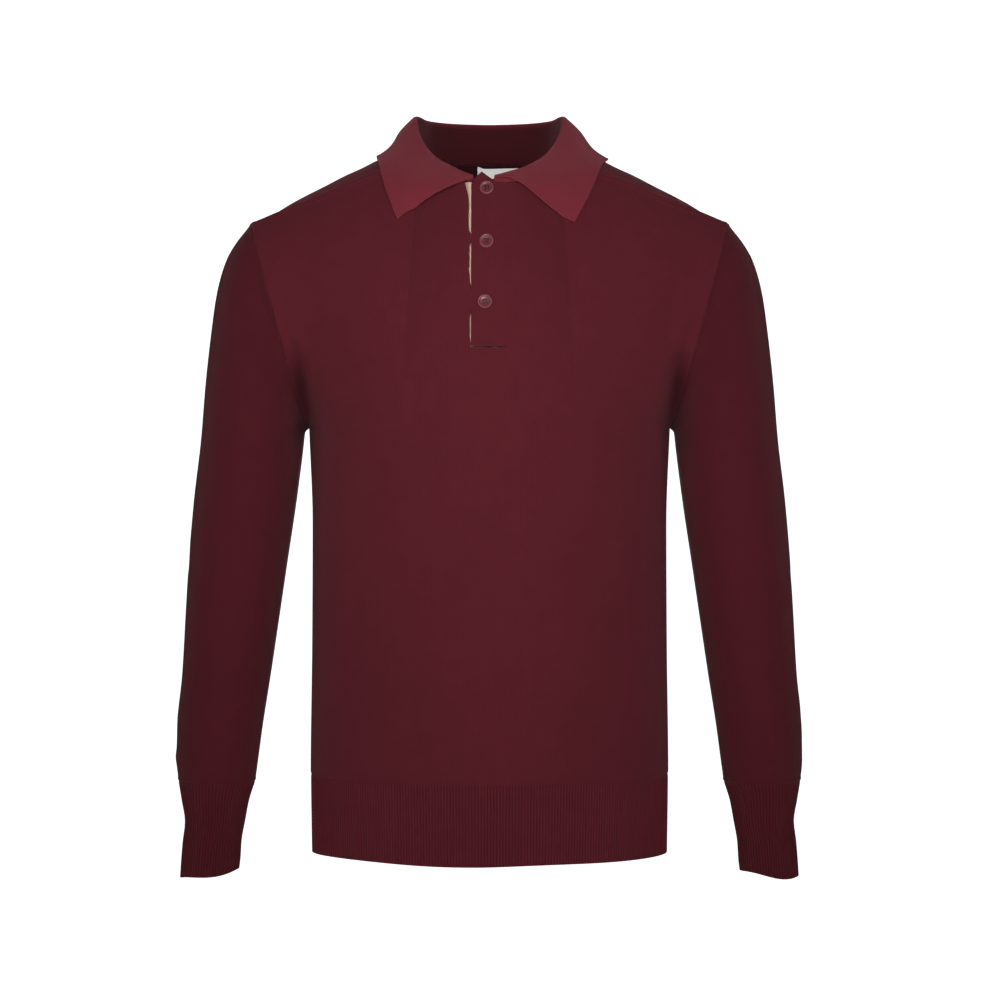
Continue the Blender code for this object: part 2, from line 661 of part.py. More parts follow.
def add_button(name, x, z, material):
    """A turned disc with a raised rim and four holes, lying on the placket."""
    centre, out = front_frame(x, z)
    centre = centre + out * (OVERLAP_LIFT + SEAM_GAP)
    mesh = bmesh.new()
    line = [mesh.verts.new((radius, 0, height)) for radius, height in BUTTON_PROFILE]
    edges = [mesh.edges.new(pair) for pair in zip(line, line[1:])]
    bmesh.ops.spin(mesh, geom=line + edges, cent=(0, 0, 0), axis=(0, 0, 1),
                   angle=math.tau, steps=BUTTON_SIDES, use_merge=True)
    bmesh.ops.remove_doubles(mesh, verts=mesh.verts[:], dist=1e-4)
    bmesh.ops.recalc_face_normals(mesh, faces=mesh.faces[:])
    across = np.cross((0.0, 0.0, 1.0), out)
    across /= np.linalg.norm(across)
    upward = np.cross(out, across)
    disc = add_object(name, place(mesh, centre, across, upward, out), material)
    holes = []
    for turn in range(4):
        angle = math.tau * (turn + 0.5) / 4
        hole = bmesh.new()
        bmesh.ops.create_cone(hole, cap_ends=True, segments=6, radius1=BUTTON_HOLE_RADIUS,
                              radius2=BUTTON_HOLE_RADIUS, depth=4 * BUTTON_HEIGHT)
        offset = BUTTON_HOLE_OFFSET * np.array([math.cos(angle), math.sin(angle)])
        seat = centre + across * offset[0] + upward * offset[1]
        cutter = add_object(f"{name}_hole_{turn + 1}", place(hole, seat, across, upward, out), material)
        cutter.hide_render = True
        cutter.display_type = "WIRE"
        holes.append(cutter)
    for cutter in holes:
        cut = disc.modifiers.new(cutter.name, "BOOLEAN")
        cut.operation = "DIFFERENCE"
        cut.object = cutter
        cut.solver = "EXACT"


def place(mesh, centre, across, upward, out):
    """Moves a mesh from its own axes onto the garment."""
    for vert in mesh.verts:
        local = np.array(vert.co)
        vert.co = (centre + across * local[0] + upward * local[1] + out * local[2]) * MM
    return mesh


def add_label(material):
    """A small label that hangs inside the back neck."""
    grid = []
    for z in (LABEL_TOP_Z - LABEL_HEIGHT, LABEL_TOP_Z):
        row = []
        for x in LABEL_MIDDLE_X + LABEL_WIDTH * np.linspace(-0.5, 0.5, 3):
            points, _ = BACK_FORM
            nearest = np.argmin((points[:, 0] - x) ** 2 + (points[:, 2] - z) ** 2)
            row.append((x, points[nearest, 1] - CLOTH - LABEL_THICKNESS - LABEL_CLEARANCE, z))
        grid.append(row)
    add_wall("neck_label", sheet(np.array(grid), thickness=LABEL_THICKNESS, gap=0), material)


# ---------------------------------------------------------------- the garment
FRONT_FORM = chest_form(-1)
BACK_FORM = chest_form(1)


def main():
    for thing in list(bpy.data.objects):
        bpy.data.objects.remove(thing)

    knit = make_material("body_knit", WINE, 0.85)
    rib = make_material("rib_knit", WINE_DARK, 0.88)
    collar_knit = make_material("collar_knit", WINE_LIGHT, 0.85)
    underlap_cloth = make_material("underlap_cotton", CREAM, 0.80)
    button_plastic = make_material("button_plastic", WINE_LIGHT, 0.30)
    label_satin = make_material("label_satin", WHITE, 0.45)

    front_shares, back_shares = front_stations(), back_stations()
    pieces = {
        "front": sheet(panel_grid(front_shares, -1)),
        "back": sheet(panel_grid(back_shares, 1)),
        "rib_front": sheet(rib_grid(front_shares, -1)),
        "rib_back": sheet(rib_grid(back_shares, 1)),
        "sleeve_left": sheet(sleeve_grid(-1), closed=True, gap=SLEEVE_SEAM_GAP),
        "sleeve_right": sheet(sleeve_grid(1), closed=True, gap=SLEEVE_SEAM_GAP),
        "cuff_left": sheet(cuff_grid(-1), closed=True),
        "cuff_right": sheet(cuff_grid(1), closed=True),
    }
    share_normals(list(pieces.values()))

    slot_column = int(np.argmin(np.abs(front_shares - station_of_x(SLOT_LEFT))))
    first_slot_row = BODY_STEPS + CHEST_STEPS_LOW
    slot = {(row, column) for row in range(first_slot_row, first_slot_row + CHEST_STEPS_HIGH)
            for column in (slot_column, slot_column + 1)}
    for name, piece in pieces.items():
        material = rib if name.startswith(("rib", "cuff")) else knit
        add_wall(name, piece, material, missing=slot if name == "front" else ())

    add_collar(collar_knit)
    add_overlap(knit)
    add_underlap(underlap_cloth)
    for count, (x, z) in enumerate(BUTTON_PLACES, 1):
        add_button(f"button_{count}", x, z, button_plastic)
    add_label(label_satin)


main()
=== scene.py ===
# %% [markdown]
# # A knitted polo sweater
# The garment stands as if somebody wore it, with nobody in it. Its front, back,
# sleeves, ribs and collar are sheets of knitting about 2 mm thick. Each sheet is made
# here again on the same form as its plain solid, with many more points, so that real
# ribs, rolled seams and soft folds can be pushed into it. The knitting itself, which is
# finer than a millimetre, is left to the materials.

# %% Load the frame
import math

import bmesh
import bpy
import numpy as np
from mathutils import Matrix, Vector


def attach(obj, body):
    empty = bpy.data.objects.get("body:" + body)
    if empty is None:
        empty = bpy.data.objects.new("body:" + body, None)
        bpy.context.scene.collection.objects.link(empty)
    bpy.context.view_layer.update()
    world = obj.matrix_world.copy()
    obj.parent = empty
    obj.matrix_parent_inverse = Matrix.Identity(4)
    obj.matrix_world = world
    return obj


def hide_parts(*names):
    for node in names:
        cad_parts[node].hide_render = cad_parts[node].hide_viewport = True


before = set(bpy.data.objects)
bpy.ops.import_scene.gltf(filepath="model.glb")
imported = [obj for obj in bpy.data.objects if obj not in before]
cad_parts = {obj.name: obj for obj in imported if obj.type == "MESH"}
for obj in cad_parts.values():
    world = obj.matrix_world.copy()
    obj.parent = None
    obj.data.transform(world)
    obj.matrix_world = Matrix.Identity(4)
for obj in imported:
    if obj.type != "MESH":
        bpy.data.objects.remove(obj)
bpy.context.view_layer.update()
MM = 0.001

# %% [markdown]
# ## The sizes of the garment
# A pattern cutter works from a few named measures. Here they are tables with one row for
# each level or station, in millimetres. +Z is up, the front faces -Y, and the origin is
# in the middle, level with the shoulders. A share of 0 is the middle of a panel, and a
# share of 1 is its side seam.

# %% Measures of the body
CLOTH = 2.0
UNDERARM_Z = -265.0
RIB_TOP_Z = -610.0
HEM_Z = -689.0
FRONT_NECK_SHARE = 0.36
BACK_NECK_SHARE = 0.44
PLACKET_LEFT = -17.3
PLACKET_RIGHT = 16.7
PLACKET_FOOT_Z = -191.0
BUTTON_PLACES = ((-2.0, -36.0), (-2.2, -88.5), (-3.7, -147.5))
COLLAR_END_LEFT = (-15.2, -28.0)
COLLAR_END_RIGHT = (5.0, -28.2)


def table(columns, *rows):
    """A small table with named columns, as a dictionary of arrays."""
    return dict(zip(columns.split(), np.array(rows, float).T))


BODY = table(
    "         z  half_width  front  back  roundness",
    (     HEM_Z,      177.5,   116,  112,      1.65),
    ( RIB_TOP_Z,      178.5,   118,  114,      1.68),
    (      -480,        177,   120,  115,      1.75),
    (      -360,      176.5,   123,  117,      1.80),
    (UNDERARM_Z,        180,   126,  118,      1.85),
)
SHOULDER_SEAM = table(
    "share      x    y      z",
    (    0,    69, -35,    -6),
    (  0.2,   103, -38,   -13),
    (  0.4,   136, -36,   -25),
    (  0.6,   170, -30,   -39),
    (  0.8,   204, -18, -50.5),
    (    1, 237.5,  -4,   -60),
)
FRONT_NECKLINE = table(
    "share   x    y      z",
    (    0,  0, -90,   -30),
    (0.085, 19, -86, -28.5),
    ( 0.22, 47, -64, -19.5),
    (FRONT_NECK_SHARE, 69, -35,    -6),
)
BACK_NECKLINE = table(
    "share   x    y     z",
    (    0,  0,  68,  6.5),
    ( 0.12, 36,  63,    7),
    ( 0.24, 66,  42,    9),
    ( 0.34, 79,   8, 10.5),
    (BACK_NECK_SHARE, 69, -35,   -6),
)

# %% [markdown]
# Above the underarm each column of knitting leaves the chest upwards and bends over to
# the neckline or the shoulder seam. That is a Bezier curve: "lift" is how it leaves,
# "pull" is how it arrives, and the back has one more guide level with the shoulder
# blades.

# %% Measures of the chest, the sleeves and the collar
FRONT_CHEST = table(
    "share  lift_x  lift_y  lift_z  pull_x  pull_y  pull_z",
    (    0,      0,     -5,     75,      0,    -22,    -70),
    (0.085,      0,     -5,     75,      0,    -22,    -70),
    ( 0.22,      0,     -6,     75,     -1,    -38,    -60),
    ( 0.36,      0,     -9,     75,      2,    -50,    -50),
    ( 0.60,      1,    -16,     74,      0,    -44,    -52),
    ( 0.80,      2,    -28,     66,     -3,    -46,    -52),
    ( 0.92,      3,    -52,     40,     -5,    -56,    -40),
    (    1,      1,    -75,      3,     -4,    -62,    -22),
)
BACK_CHEST = table(
    "share  lift_x  lift_y  lift_z  mid_x  mid_y  mid_z  pull_x  pull_y  pull_z",
    (    0,      0,      4,     75,     0,   124,  -105,      0,     24,    -46),
    ( 0.12,      0,      4,     77,    31,   123,  -100,      4,     26,    -42),
    ( 0.24,      0,      8,     80,    62,   118,   -78,     14,     27,    -12),
    ( 0.34,      1,     11,     87,    86,   114,   -42,     25,     30,     -3),
    (BACK_NECK_SHARE,      3,     15,     95,   118,   108,   -26,     39,     48,     49),
    ( 0.65,      2,     19,     85,   140,   100,   -40,      2,     65,     52),
    ( 0.78,      5,     29,     75,   168,    84,   -62,      1,     54,     45),
    ( 0.87,      2,     36,     53,   190,    74,   -85,      1,     43,     34),
    ( 0.94,      2,     48,     25,   208,    71,  -120,   -1.5,     44,     12),
    (    1,    0.8,     58,      3,   208,    72,  -171,   -2.3,     52,    -16),
)
SLEEVE = table(
    "outer_x  outer_z  inner_x  inner_z  middle_y  front  back",
    (    245,     -70,   181.5,    -266,       -1,    56,   57),
    (    262,     -96,   182.5,    -267,       -1,    60,   60),
    (    272,    -130,   183.3,    -268,       -1,  62.5,   62),
    (    278,    -172,     184,    -269,       -1,  63.5,   63),
    (  283.5,    -222,   184.6,  -271.5,       -1,    63,   62),
    (    288,    -277,   186.4,    -288,       -1,    61,   61),
    (    295,    -337,   193.5,    -343,       -2,    58,   58),
    (    300,    -397,     202,    -400,       -3,    54,   54),
    (    303,    -450,   209.5,    -452,       -5,    50,   50),
    (    306,    -510,     218,    -511,       -9,    46,   46),
    (  310.5,    -560,   225.5,    -561,      -14,    43,   43),
    (  310.5,    -592,   229.5,    -593,      -18,    41,   41),
    (  308.5,    -615,   232.5,    -616,      -20,    38,   38),
)
CUFF = table(
    "outer_x  outer_z  inner_x  inner_z  middle_y  front  back",
    (  308.5,    -615,   232.5,    -616,      -20,    38,   38),
    (    305,    -635,   238.5,    -635,    -21.5,  34.5, 34.5),
    (  301.8,    -655,   242.2,    -655,    -22.5,  31.5, 31.5),
    (    304,    -675,   245.7,    -675,    -23.5,    31,   31),
    (  305.5,    -694,   246.7,    -692,      -24,  31.5, 31.5),
    (  306.5,    -710,     248,    -703,      -24,    32,   32),
)
COLLAR = table(
    "share  fold_x  fold_y  fold_z  edge_x  edge_y  edge_z  off_body  crown",
    (    0,      0,     62,     46,      0,     86,     -1,      2.6,  0.05),
    (0.147,     34,     57,   46.4,     52,     79,     -1,        3,  0.04),
    (0.300,     62,     38,     47,     93,     50,      1,      3.6, -0.02),
    (0.400,   69.5,     18,   48.4,    108,     24,    2.6,      3.6, -0.03),
    (0.450,   72.5,      3,   45.8,    112,      7,    3.5,      3.6, -0.03),
    (0.570,   69.5,    -18,     28,    110,    -28,     -3,      3.6, -0.03),
    (0.690,     56,    -44,      4,    104,    -55,    -25,      3.4,  0.02),
    (0.840,     35,    -69,    -12,     95,    -76,    -47,        3,  0.04),
    (    1,      5,  -89.5,    -24,   87.5,    -86,    -63,      2.6,  0.05),
)
# The two points are not alike: how far each is moved out and up, and how far its front
# edge bows up and where (near the point on the left, near the neck on the right).
TIP_LEFT, TIP_RIGHT = (3.0, 5.0), (-3.5, 0.0)
RIGHT_SIDE_DROP = (5.0, 0.0, -4.5)   # the right leaf lies further out over the shoulder
BOW_LEFT, BOW_RIGHT = (5.0, 2.0, 1.0), (7.4, 1.0, 3.0)
print("tables:", len(SLEEVE["front"]), "sleeve rings,", len(COLLAR["share"]), "collar stations")

# %% [markdown]
# ## The form
# A smooth curve through the rows of a table gives any level between them. The curve used
# here never swings past its points, so a table row is also the widest the form gets.

# %% Smooth reading of a table
def smooth(xs, ys, at):
    """Cubic curve through (xs, ys) that never overshoots its points, read at `at`."""
    step = np.diff(xs)
    slope = np.diff(ys) / step
    tangent = np.empty(len(xs))
    tangent[0], tangent[-1] = slope[0], slope[-1]
    same_way = slope[:-1] * slope[1:] > 0
    safe = np.where(same_way, slope[:-1] + slope[1:], 1.0)
    tangent[1:-1] = np.where(same_way, 2 * slope[:-1] * slope[1:] / safe, 0.0)
    at = np.clip(at, xs[0], xs[-1])
    k = np.clip(np.searchsorted(xs, at, side="right") - 1, 0, len(step) - 1)
    u = (at - xs[k]) / step[k]
    rise = ys[k + 1] - ys[k]
    start, end = tangent[k] * step[k], tangent[k + 1] * step[k]
    return (ys[k] + u * start + u * u * (3 * rise - 2 * start - end)
            + u ** 3 * (start + end - 2 * rise))


def read(rows, names, key, at):
    """The named columns of a table, each read smoothly at `at`, as points."""
    return np.stack([smooth(rows[key], rows[name], at) for name in names.split()], -1)


def bezier(guides, along):
    """The point `along` a curve drawn by its guide points, or along many such curves."""
    while len(guides) > 1:
        guides = [start * (1 - along) + end * along for start, end in zip(guides, guides[1:])]
    return guides[0]


def ease(x):
    """0 below 0, 1 above 1, and a soft S between."""
    x = np.clip(x, 0.0, 1.0)
    return x * x * (3 - 2 * x)


def bell(x, middle, width):
    """1 at the middle, and a soft fall to 0 within about two widths on each side."""
    return np.exp(-((x - middle) / width) ** 2)


def round_edge(away, radius, least=0.0):
    """How thick a rounded edge is, as a share, at a distance from it."""
    return np.sqrt(np.clip(1 - (1 - np.clip(away / radius, 0, 1)) ** 2, least, 1))

# %% The body and the chest
def body_section(z, share, side):
    """A level of the body below the arms: side -1 is the front and +1 the back."""
    order = np.argsort(BODY["z"])
    rows = {name: column[order] for name, column in BODY.items()}
    half_width, roundness = read(rows, "half_width roundness", "z", z)
    depth = read(rows, "front" if side < 0 else "back", "z", z)[0]
    angle = np.linspace(0, math.pi / 2, 800)
    across = half_width * np.sin(angle) ** (2 / roundness)
    out = depth * np.cos(angle) ** (2 / roundness)
    length = np.concatenate([[0], np.cumsum(np.hypot(np.diff(across), np.diff(out)))])
    wanted = np.abs(share) * length[-1]
    x = np.interp(wanted, length, across) * np.sign(share)
    y = side * np.interp(wanted, length, out)
    return np.stack([x, y, np.full_like(x, z)], -1)


def top_edge(share, neckline, neck_share):
    """The top of a panel: its neckline, then the forward shoulder seam."""
    a = np.abs(share)
    neck = read(neckline, "x y z", "share", a)
    seam = read(SHOULDER_SEAM, "x y z", "share", (a - neck_share) / (1 - neck_share))
    point = np.where((a < neck_share)[:, None], neck, seam)
    point[:, 0] *= np.where(share < 0, -1.0, 1.0)
    return point


def chest(share, rise, side):
    """A row of the chest: rise 0 is the underarm level and 1 the top edge."""
    mirror = np.ones((len(share), 3))
    mirror[:, 0] = np.where(share < 0, -1.0, 1.0)
    if side < 0:
        neckline, neck_share, rows = FRONT_NECKLINE, FRONT_NECK_SHARE, FRONT_CHEST
    else:
        neckline, neck_share, rows = BACK_NECKLINE, BACK_NECK_SHARE, BACK_CHEST
    low = body_section(UNDERARM_Z, share, side)
    top = top_edge(share, neckline, neck_share)
    reach = np.abs(share)
    guides = [low, low + mirror * read(rows, "lift_x lift_y lift_z", "share", reach)]
    if "mid_x" in rows:
        guides.append(mirror * read(rows, "mid_x mid_y mid_z", "share", reach))
    guides += [top + mirror * read(rows, "pull_x pull_y pull_z", "share", reach), top]
    return bezier(guides, rise)


def grid_normals(grid, closed):
    """Outward directions of a grid of points whose rows go up and columns to the right."""
    if closed:
        ring = grid[:, :-1]
        across = np.roll(ring, -1, axis=1) - np.roll(ring, 1, axis=1)
        across = np.concatenate([across, across[:, :1]], axis=1)
    else:
        across = np.gradient(grid, axis=1)
    up = np.gradient(grid, axis=0)
    out = np.cross(across, up)
    return out / np.maximum(np.linalg.norm(out, axis=2, keepdims=True), 1e-9)


def chest_form(side):
    """Closely spaced points of the chest, with their outward directions."""
    shares = np.linspace(-0.72, 0.72, 145)
    grid = np.array([chest(shares, rise, side) for rise in np.linspace(0, 1, 111)])
    grid = grid if side < 0 else grid[:, ::-1]
    return grid.reshape(-1, 3), grid_normals(grid, False).reshape(-1, 3)


FRONT_FORM, BACK_FORM = chest_form(-1), chest_form(1)
print("chest form:", len(FRONT_FORM[0]), "points a side")

# %% [markdown]
# Things that lie on the chest, such as the placket and the buttons, ask it where it is.
# `on_front` finds the nearest point seen from the front, and steps out along its normal.

# %% Asking the chest where it is
def front_frame(x, z):
    """The point of the front seen at (x, z) from the front, and the direction out of it."""
    points, normals = FRONT_FORM
    away = (points[:, 0] - x) ** 2 + (points[:, 2] - z) ** 2
    near = np.argsort(away)[:12]
    weight = 1 / (away[near] + 1.0)
    out = (normals[near] * weight[:, None]).sum(0)
    out /= np.linalg.norm(out)
    aside = out[0] * (points[near, 0] - x) + out[2] * (points[near, 2] - z)
    lean = points[near, 1] + aside / out[1]
    return np.array([x, (lean * weight).sum() / weight.sum(), z]), out


def on_front(x, z, lift):
    """The point `lift` above the front at (x, z)."""
    point, out = front_frame(x, z)
    return point + out * lift


PUSH_LIMIT, BESIDE_LIMIT = 12.0, 8.0   # further in or aside than this, a point is left


def off_body(point, clearance, lying):
    """Moves a point out to `clearance` from the body; a lying point also comes in to it."""
    points, normals = (np.concatenate(pair) for pair in zip(FRONT_FORM, BACK_FORM))
    nearest = np.argmin(((points - point) ** 2).sum(1))
    apart, out = point - points[nearest], normals[nearest]
    height = apart @ out
    short = clearance - height
    if np.linalg.norm(apart - out * height) > BESIDE_LIMIT or short > PUSH_LIMIT:
        return point
    return point + out * (short if short > 0 else short * lying)

# %% [markdown]
# ## From a grid to a piece of cloth
# Every piece is a rectangle of points before it is bent, so Blender's own grid is the
# start. Its points are moved to the form, and the whole sheet is then extruded inwards
# by the thickness of the cloth, which closes it. The grid carries a UV map in
# decimetres: U counts across the stitches and V along them, so the knitting in the
# material follows the cloth round the body, as real knitting does.

# %% A wall of cloth
def running_length(grid, axis):
    """How far along the cloth each point of a grid is, along one of its two ways."""
    steps = np.linalg.norm(np.diff(grid, axis=axis), axis=2)
    start = np.zeros_like(np.take(steps, [0], axis=axis))
    return np.cumsum(np.concatenate([start, steps], axis=axis), axis=axis)


def cloth_uv(grid, middle_column):
    """U across the stitches from the middle column, V up the cloth, in decimetres."""
    across, upward = running_length(grid, 1), running_length(grid, 0)
    across = across - across[:, [middle_column]]
    upward = upward[:, [middle_column]] * np.ones(grid.shape[1])
    return np.stack([across, upward], -1) / 100


def cloth_mesh(name, outer, inner, uv, material, closed=False, missing=None, hollow=None,
               lit_within=False):
    """One closed piece of cloth between two grids. `missing` is a mask of cells left out.
    `hollow` says how deep in shade the outer face is; the inner face is wholly so."""
    rows, columns = outer.shape[:2]
    mesh = bmesh.new()
    bmesh.ops.create_grid(mesh, x_segments=columns - 1, y_segments=rows - 1, size=1.0)
    across = mesh.verts.layers.int.new("across")
    upward = mesh.verts.layers.int.new("upward")
    for vert in mesh.verts:
        vert[across] = round((vert.co.x + 1) / 2 * (columns - 1))
        vert[upward] = round((vert.co.y + 1) / 2 * (rows - 1))
    layer = mesh.loops.layers.uv.new("cloth")
    depth = mesh.verts.layers.float.new("hollow")
    gone = []
    for face in mesh.faces:
        face.smooth = True
        for loop in face.loops:
            loop[layer].uv = uv[loop.vert[upward], loop.vert[across]]
        cell = min(v[upward] for v in face.verts), min(v[across] for v in face.verts)
        if missing is not None and missing[cell]:
            gone.append(face)
    if gone:
        bmesh.ops.delete(mesh, geom=gone, context="FACES")
    for vert in mesh.verts:
        place = vert[upward], vert[across]
        vert.co = outer[place] * MM
        vert[depth] = 0.0 if hollow is None else hollow[place]
    if closed:
        bmesh.ops.remove_doubles(mesh, verts=mesh.verts[:], dist=1e-7)
    made = bmesh.ops.extrude_face_region(mesh, geom=mesh.faces[:], use_keep_orig=True)
    for item in made["geom"]:
        if isinstance(item, bmesh.types.BMVert):
            item.co = inner[item[upward], item[across]] * MM
            item[depth] = 0.0 if lit_within else 1.0
    bmesh.ops.recalc_face_normals(mesh, faces=mesh.faces[:])
    return finish_piece(name, mesh, material)


def finish_piece(name, mesh, material, sharp=60.0):
    """A named object at the origin from a finished bmesh."""
    data = bpy.data.meshes.new(name)
    mesh.to_mesh(data)
    mesh.free()
    data.shade_smooth()
    data.set_sharp_from_angle(angle=math.radians(sharp))
    data.materials.append(material)
    piece = bpy.data.objects.new(name, data)
    bpy.context.collection.objects.link(piece)
    data.calc_loop_triangles()
    print(f"{name}: {len(data.loop_triangles)} triangles")
    return piece


def stands_for(piece, node):
    """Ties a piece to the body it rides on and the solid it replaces."""
    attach(piece, "root")
    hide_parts(node)
    return piece

# %% [markdown]
# ## Folds and seams
# Knitting this fine hangs smoothly, so its folds are few and soft. Each is one row of a
# table: a line on the cloth from one point to another, how far it bows, how wide it is
# and how deep. A negative depth is a trough and a positive one a ridge. No two are
# alike, and the hidden back has its own.
#
# At a seam the cloth turns in: its last few millimetres dip by half a millimetre, with a
# low welt beside them where the seam allowance lies underneath.

# %% Pushing folds and seams into a sheet
def fold_height(across, upward, folds):
    """The height of a table of folds at every point of a sheet."""
    height = np.zeros_like(across)
    for k in range(len(folds["depth"])):
        row = {name: column[k] for name, column in folds.items()}
        start = np.array([row["from_x"], row["from_z"]])
        way = np.array([row["to_x"], row["to_z"]]) - start
        length = np.linalg.norm(way)
        way /= length
        dx, dz = across - start[0], upward - start[1]
        along = (dx * way[0] + dz * way[1]) / length
        bowed = row["bow"] * 4 * along * (1 - along)
        beside = -dx * way[1] + dz * way[0] - bowed
        taper = ease((along + 0.25) / 0.55) * ease((1.25 - along) / 0.55)
        height += row["depth"] * taper * bell(beside, 0, row["width"])
    return height


def seam_height(away):
    """The turned-in edge at a seam and the low welt beside it; `away` is the distance."""
    return -0.55 * bell(away, 0, 0.8) + 0.35 * bell(away, 2.2, 1.6)


def edge_distance(grid, top=False, bottom=False, left=False, right=False):
    """How far every point of a grid is from the nearest of the named edges."""
    away = np.full(grid.shape[:2], 1e3)
    across, upward = running_length(grid, 1), running_length(grid, 0)
    if bottom:
        away = np.minimum(away, upward)
    if top:
        away = np.minimum(away, upward[-1] - upward)
    if left:
        away = np.minimum(away, across)
    if right:
        away = np.minimum(away, across[:, -1:] - across)
    return away


def crowd(count, power, at_start=False):
    """Stations from 0 to 1, closer together at the end, or else at the start."""
    t = np.linspace(0, 1, count)
    return t ** power if at_start else 1 - (1 - t) ** power

# %% [markdown]
# ## Finishes
# A material's nodes do sums, so a small class lets Python write them. `Signal` wraps the
# output of a node and turns `a * b` into a Math node, and `Finish` makes every other
# node from its type, its settings and what goes into it.

# %% Shader sums as Python
class Signal:
    """One output of a node, for arithmetic."""

    def __init__(self, finish, socket):
        self.finish, self.socket = finish, socket

    def math(self, operation, *others):
        return self.finish.add("ShaderNodeMath", {"operation": operation},
                               dict(enumerate((self, *others))))

    def __add__(self, other):
        return self.math("ADD", other)

    def __sub__(self, other):
        return self.math("SUBTRACT", other)

    def __mul__(self, other):
        return self.math("MULTIPLY", other)

    def __truediv__(self, other):
        return self.math("DIVIDE", other)

    def __rsub__(self, other):
        return self.finish.add("ShaderNodeMath", {"operation": "SUBTRACT"}, {0: other, 1: self})

    __radd__, __rmul__ = __add__, __mul__


class Finish:
    """A material under construction, with its Principled shader."""

    def __init__(self, name, roughness, sheen=0.0, sheen_roughness=0.4, sheen_tint=(1, 1, 1),
                 specular=0.25):
        self.material = bpy.data.materials.new(name)
        self.material.use_nodes = True
        self.tree = self.material.node_tree
        self.shader = self.tree.nodes["Principled BSDF"]
        for socket, value in (("Roughness", roughness), ("Sheen Weight", sheen),
                              ("Sheen Roughness", sheen_roughness),
                              ("Sheen Tint", (*sheen_tint, 1.0)),
                              ("Specular IOR Level", specular)):
            self.shader.inputs[socket].default_value = value

    def add(self, kind, settings=None, inputs=None, output=0):
        node = self.tree.nodes.new(kind)
        for name, value in (settings or {}).items():
            setattr(node, name, value)
        for name, value in (inputs or {}).items():
            self.join(node.inputs[name], value)
        return Signal(self, node.outputs[output])

    def join(self, socket, value):
        if isinstance(value, Signal):
            self.tree.links.new(value.socket, socket)
        else:
            socket.default_value = value

    def feed(self, **sockets):
        for name, value in sockets.items():
            self.join(self.shader.inputs[name.replace("_", " ")], value)

    def mix(self, factor, first, second):
        inputs = {0: factor}
        for index, colour in ((6, first), (7, second)):
            inputs[index] = colour if isinstance(colour, Signal) else (*colour, 1.0)
        return self.add("ShaderNodeMix", {"data_type": "RGBA"}, inputs, output=2)

    def noise(self, scale, detail=2.0):
        place = self.add("ShaderNodeTexCoord", output="Object")
        return self.add("ShaderNodeTexNoise", {}, {"Scale": scale, "Detail": detail,
                                                   "Vector": place})

    def cloth_ways(self):
        """Across and along the stitches, in millimetres."""
        parts = self.add("ShaderNodeSeparateXYZ", {},
                         {0: self.add("ShaderNodeUVMap", {"uv_map": "cloth"})})
        across, along = (Signal(self, parts.socket.node.outputs[k]) for k in (0, 1))
        return across * 100, along * 100

    def bump(self, height, strength, distance):
        normal = self.add("ShaderNodeBump", {}, {"Strength": strength, "Distance": distance,
                                                 "Height": height})
        self.feed(Normal=normal)

# %% [markdown]
# Plain knitting is a field of small V shapes: each stitch has two legs that lean towards
# the middle of their column. Across one column the legs are two humps, and along it the
# humps are cut into stitches by lines that slant outwards. The colour is darker in the gaps
# between the legs, between the columns and in a rib's furrows: painted shade of the
# knitting's relief, with random patches of tone over it. Woven cotton and satin are
# simpler: threads over and under, with painted shade where a thread dips. Inside the neck
# little light gets in, so the faces marked as hollow have a deeper colour, painted shade
# that also lies in the valleys under the arms and on the inside of the cloth.

# %% Knitting
def stitches(across, along, column, course):
    """The height of plain knitting, from 0 in the gaps to 1 on the legs."""
    place = (across / column).math("FRACT") * 2 - 1
    side = place.math("ABSOLUTE")
    hump = side * 2 - 1
    leg = 1 - hump * hump
    stitch = (along / course + side * 0.55).math("FRACT") * 2 - 1
    return leg * (1 - stitch * stitch * 0.75)


def knitting(name, colour, shade, sheen=0.10, column=1.55, fuzz=0.0, furrow=None):
    """A knitted finish. `furrow` is a rib's pitch, whose hollows get painted shade."""
    finish = Finish(name, 0.88, sheen=sheen, sheen_roughness=0.5,
                    sheen_tint=(1.0, 0.45, 0.50), specular=0.09)
    across, along = finish.cloth_ways()
    height = stitches(across, along, column, column * 0.74)
    wales = (across * (math.tau / (2 * column))).math("COSINE") * 0.5 + 0.5
    patches = finish.noise(9.0, 3.0)
    blotches = finish.noise(70.0, 2.0)
    fibres = finish.noise(900.0, 2.0)
    # Painted shade: the tone is darker in the gaps between stitches and between columns; the noise
    # adds random tone.
    tone = height * 0.40 + wales * 0.16 + patches * 0.28 + blotches * 0.30 + fibres * 0.40 - 0.24
    if furrow:
        ridge = ((across * (math.tau / furrow)).math("COSINE") * 0.5 + 0.5)
        tone = tone * 0.45 + ridge * 0.6
    hollow = finish.add("ShaderNodeAttribute", {"attribute_name": "hollow"}, output=2)
    lit = finish.mix(tone.math("MINIMUM", 1.0), shade, colour)
    finish.feed(Base_Color=finish.mix(hollow, lit, darkened(shade, 0.30)))
    finish.bump(height * 0.45 + fibres * (0.25 + fuzz), 0.55, 0.0006)
    return finish.material


# A colour darkened by a factor, for painted shade and for the darker tones of a yarn.
def darkened(colour, by):
    return tuple(channel * by for channel in colour)


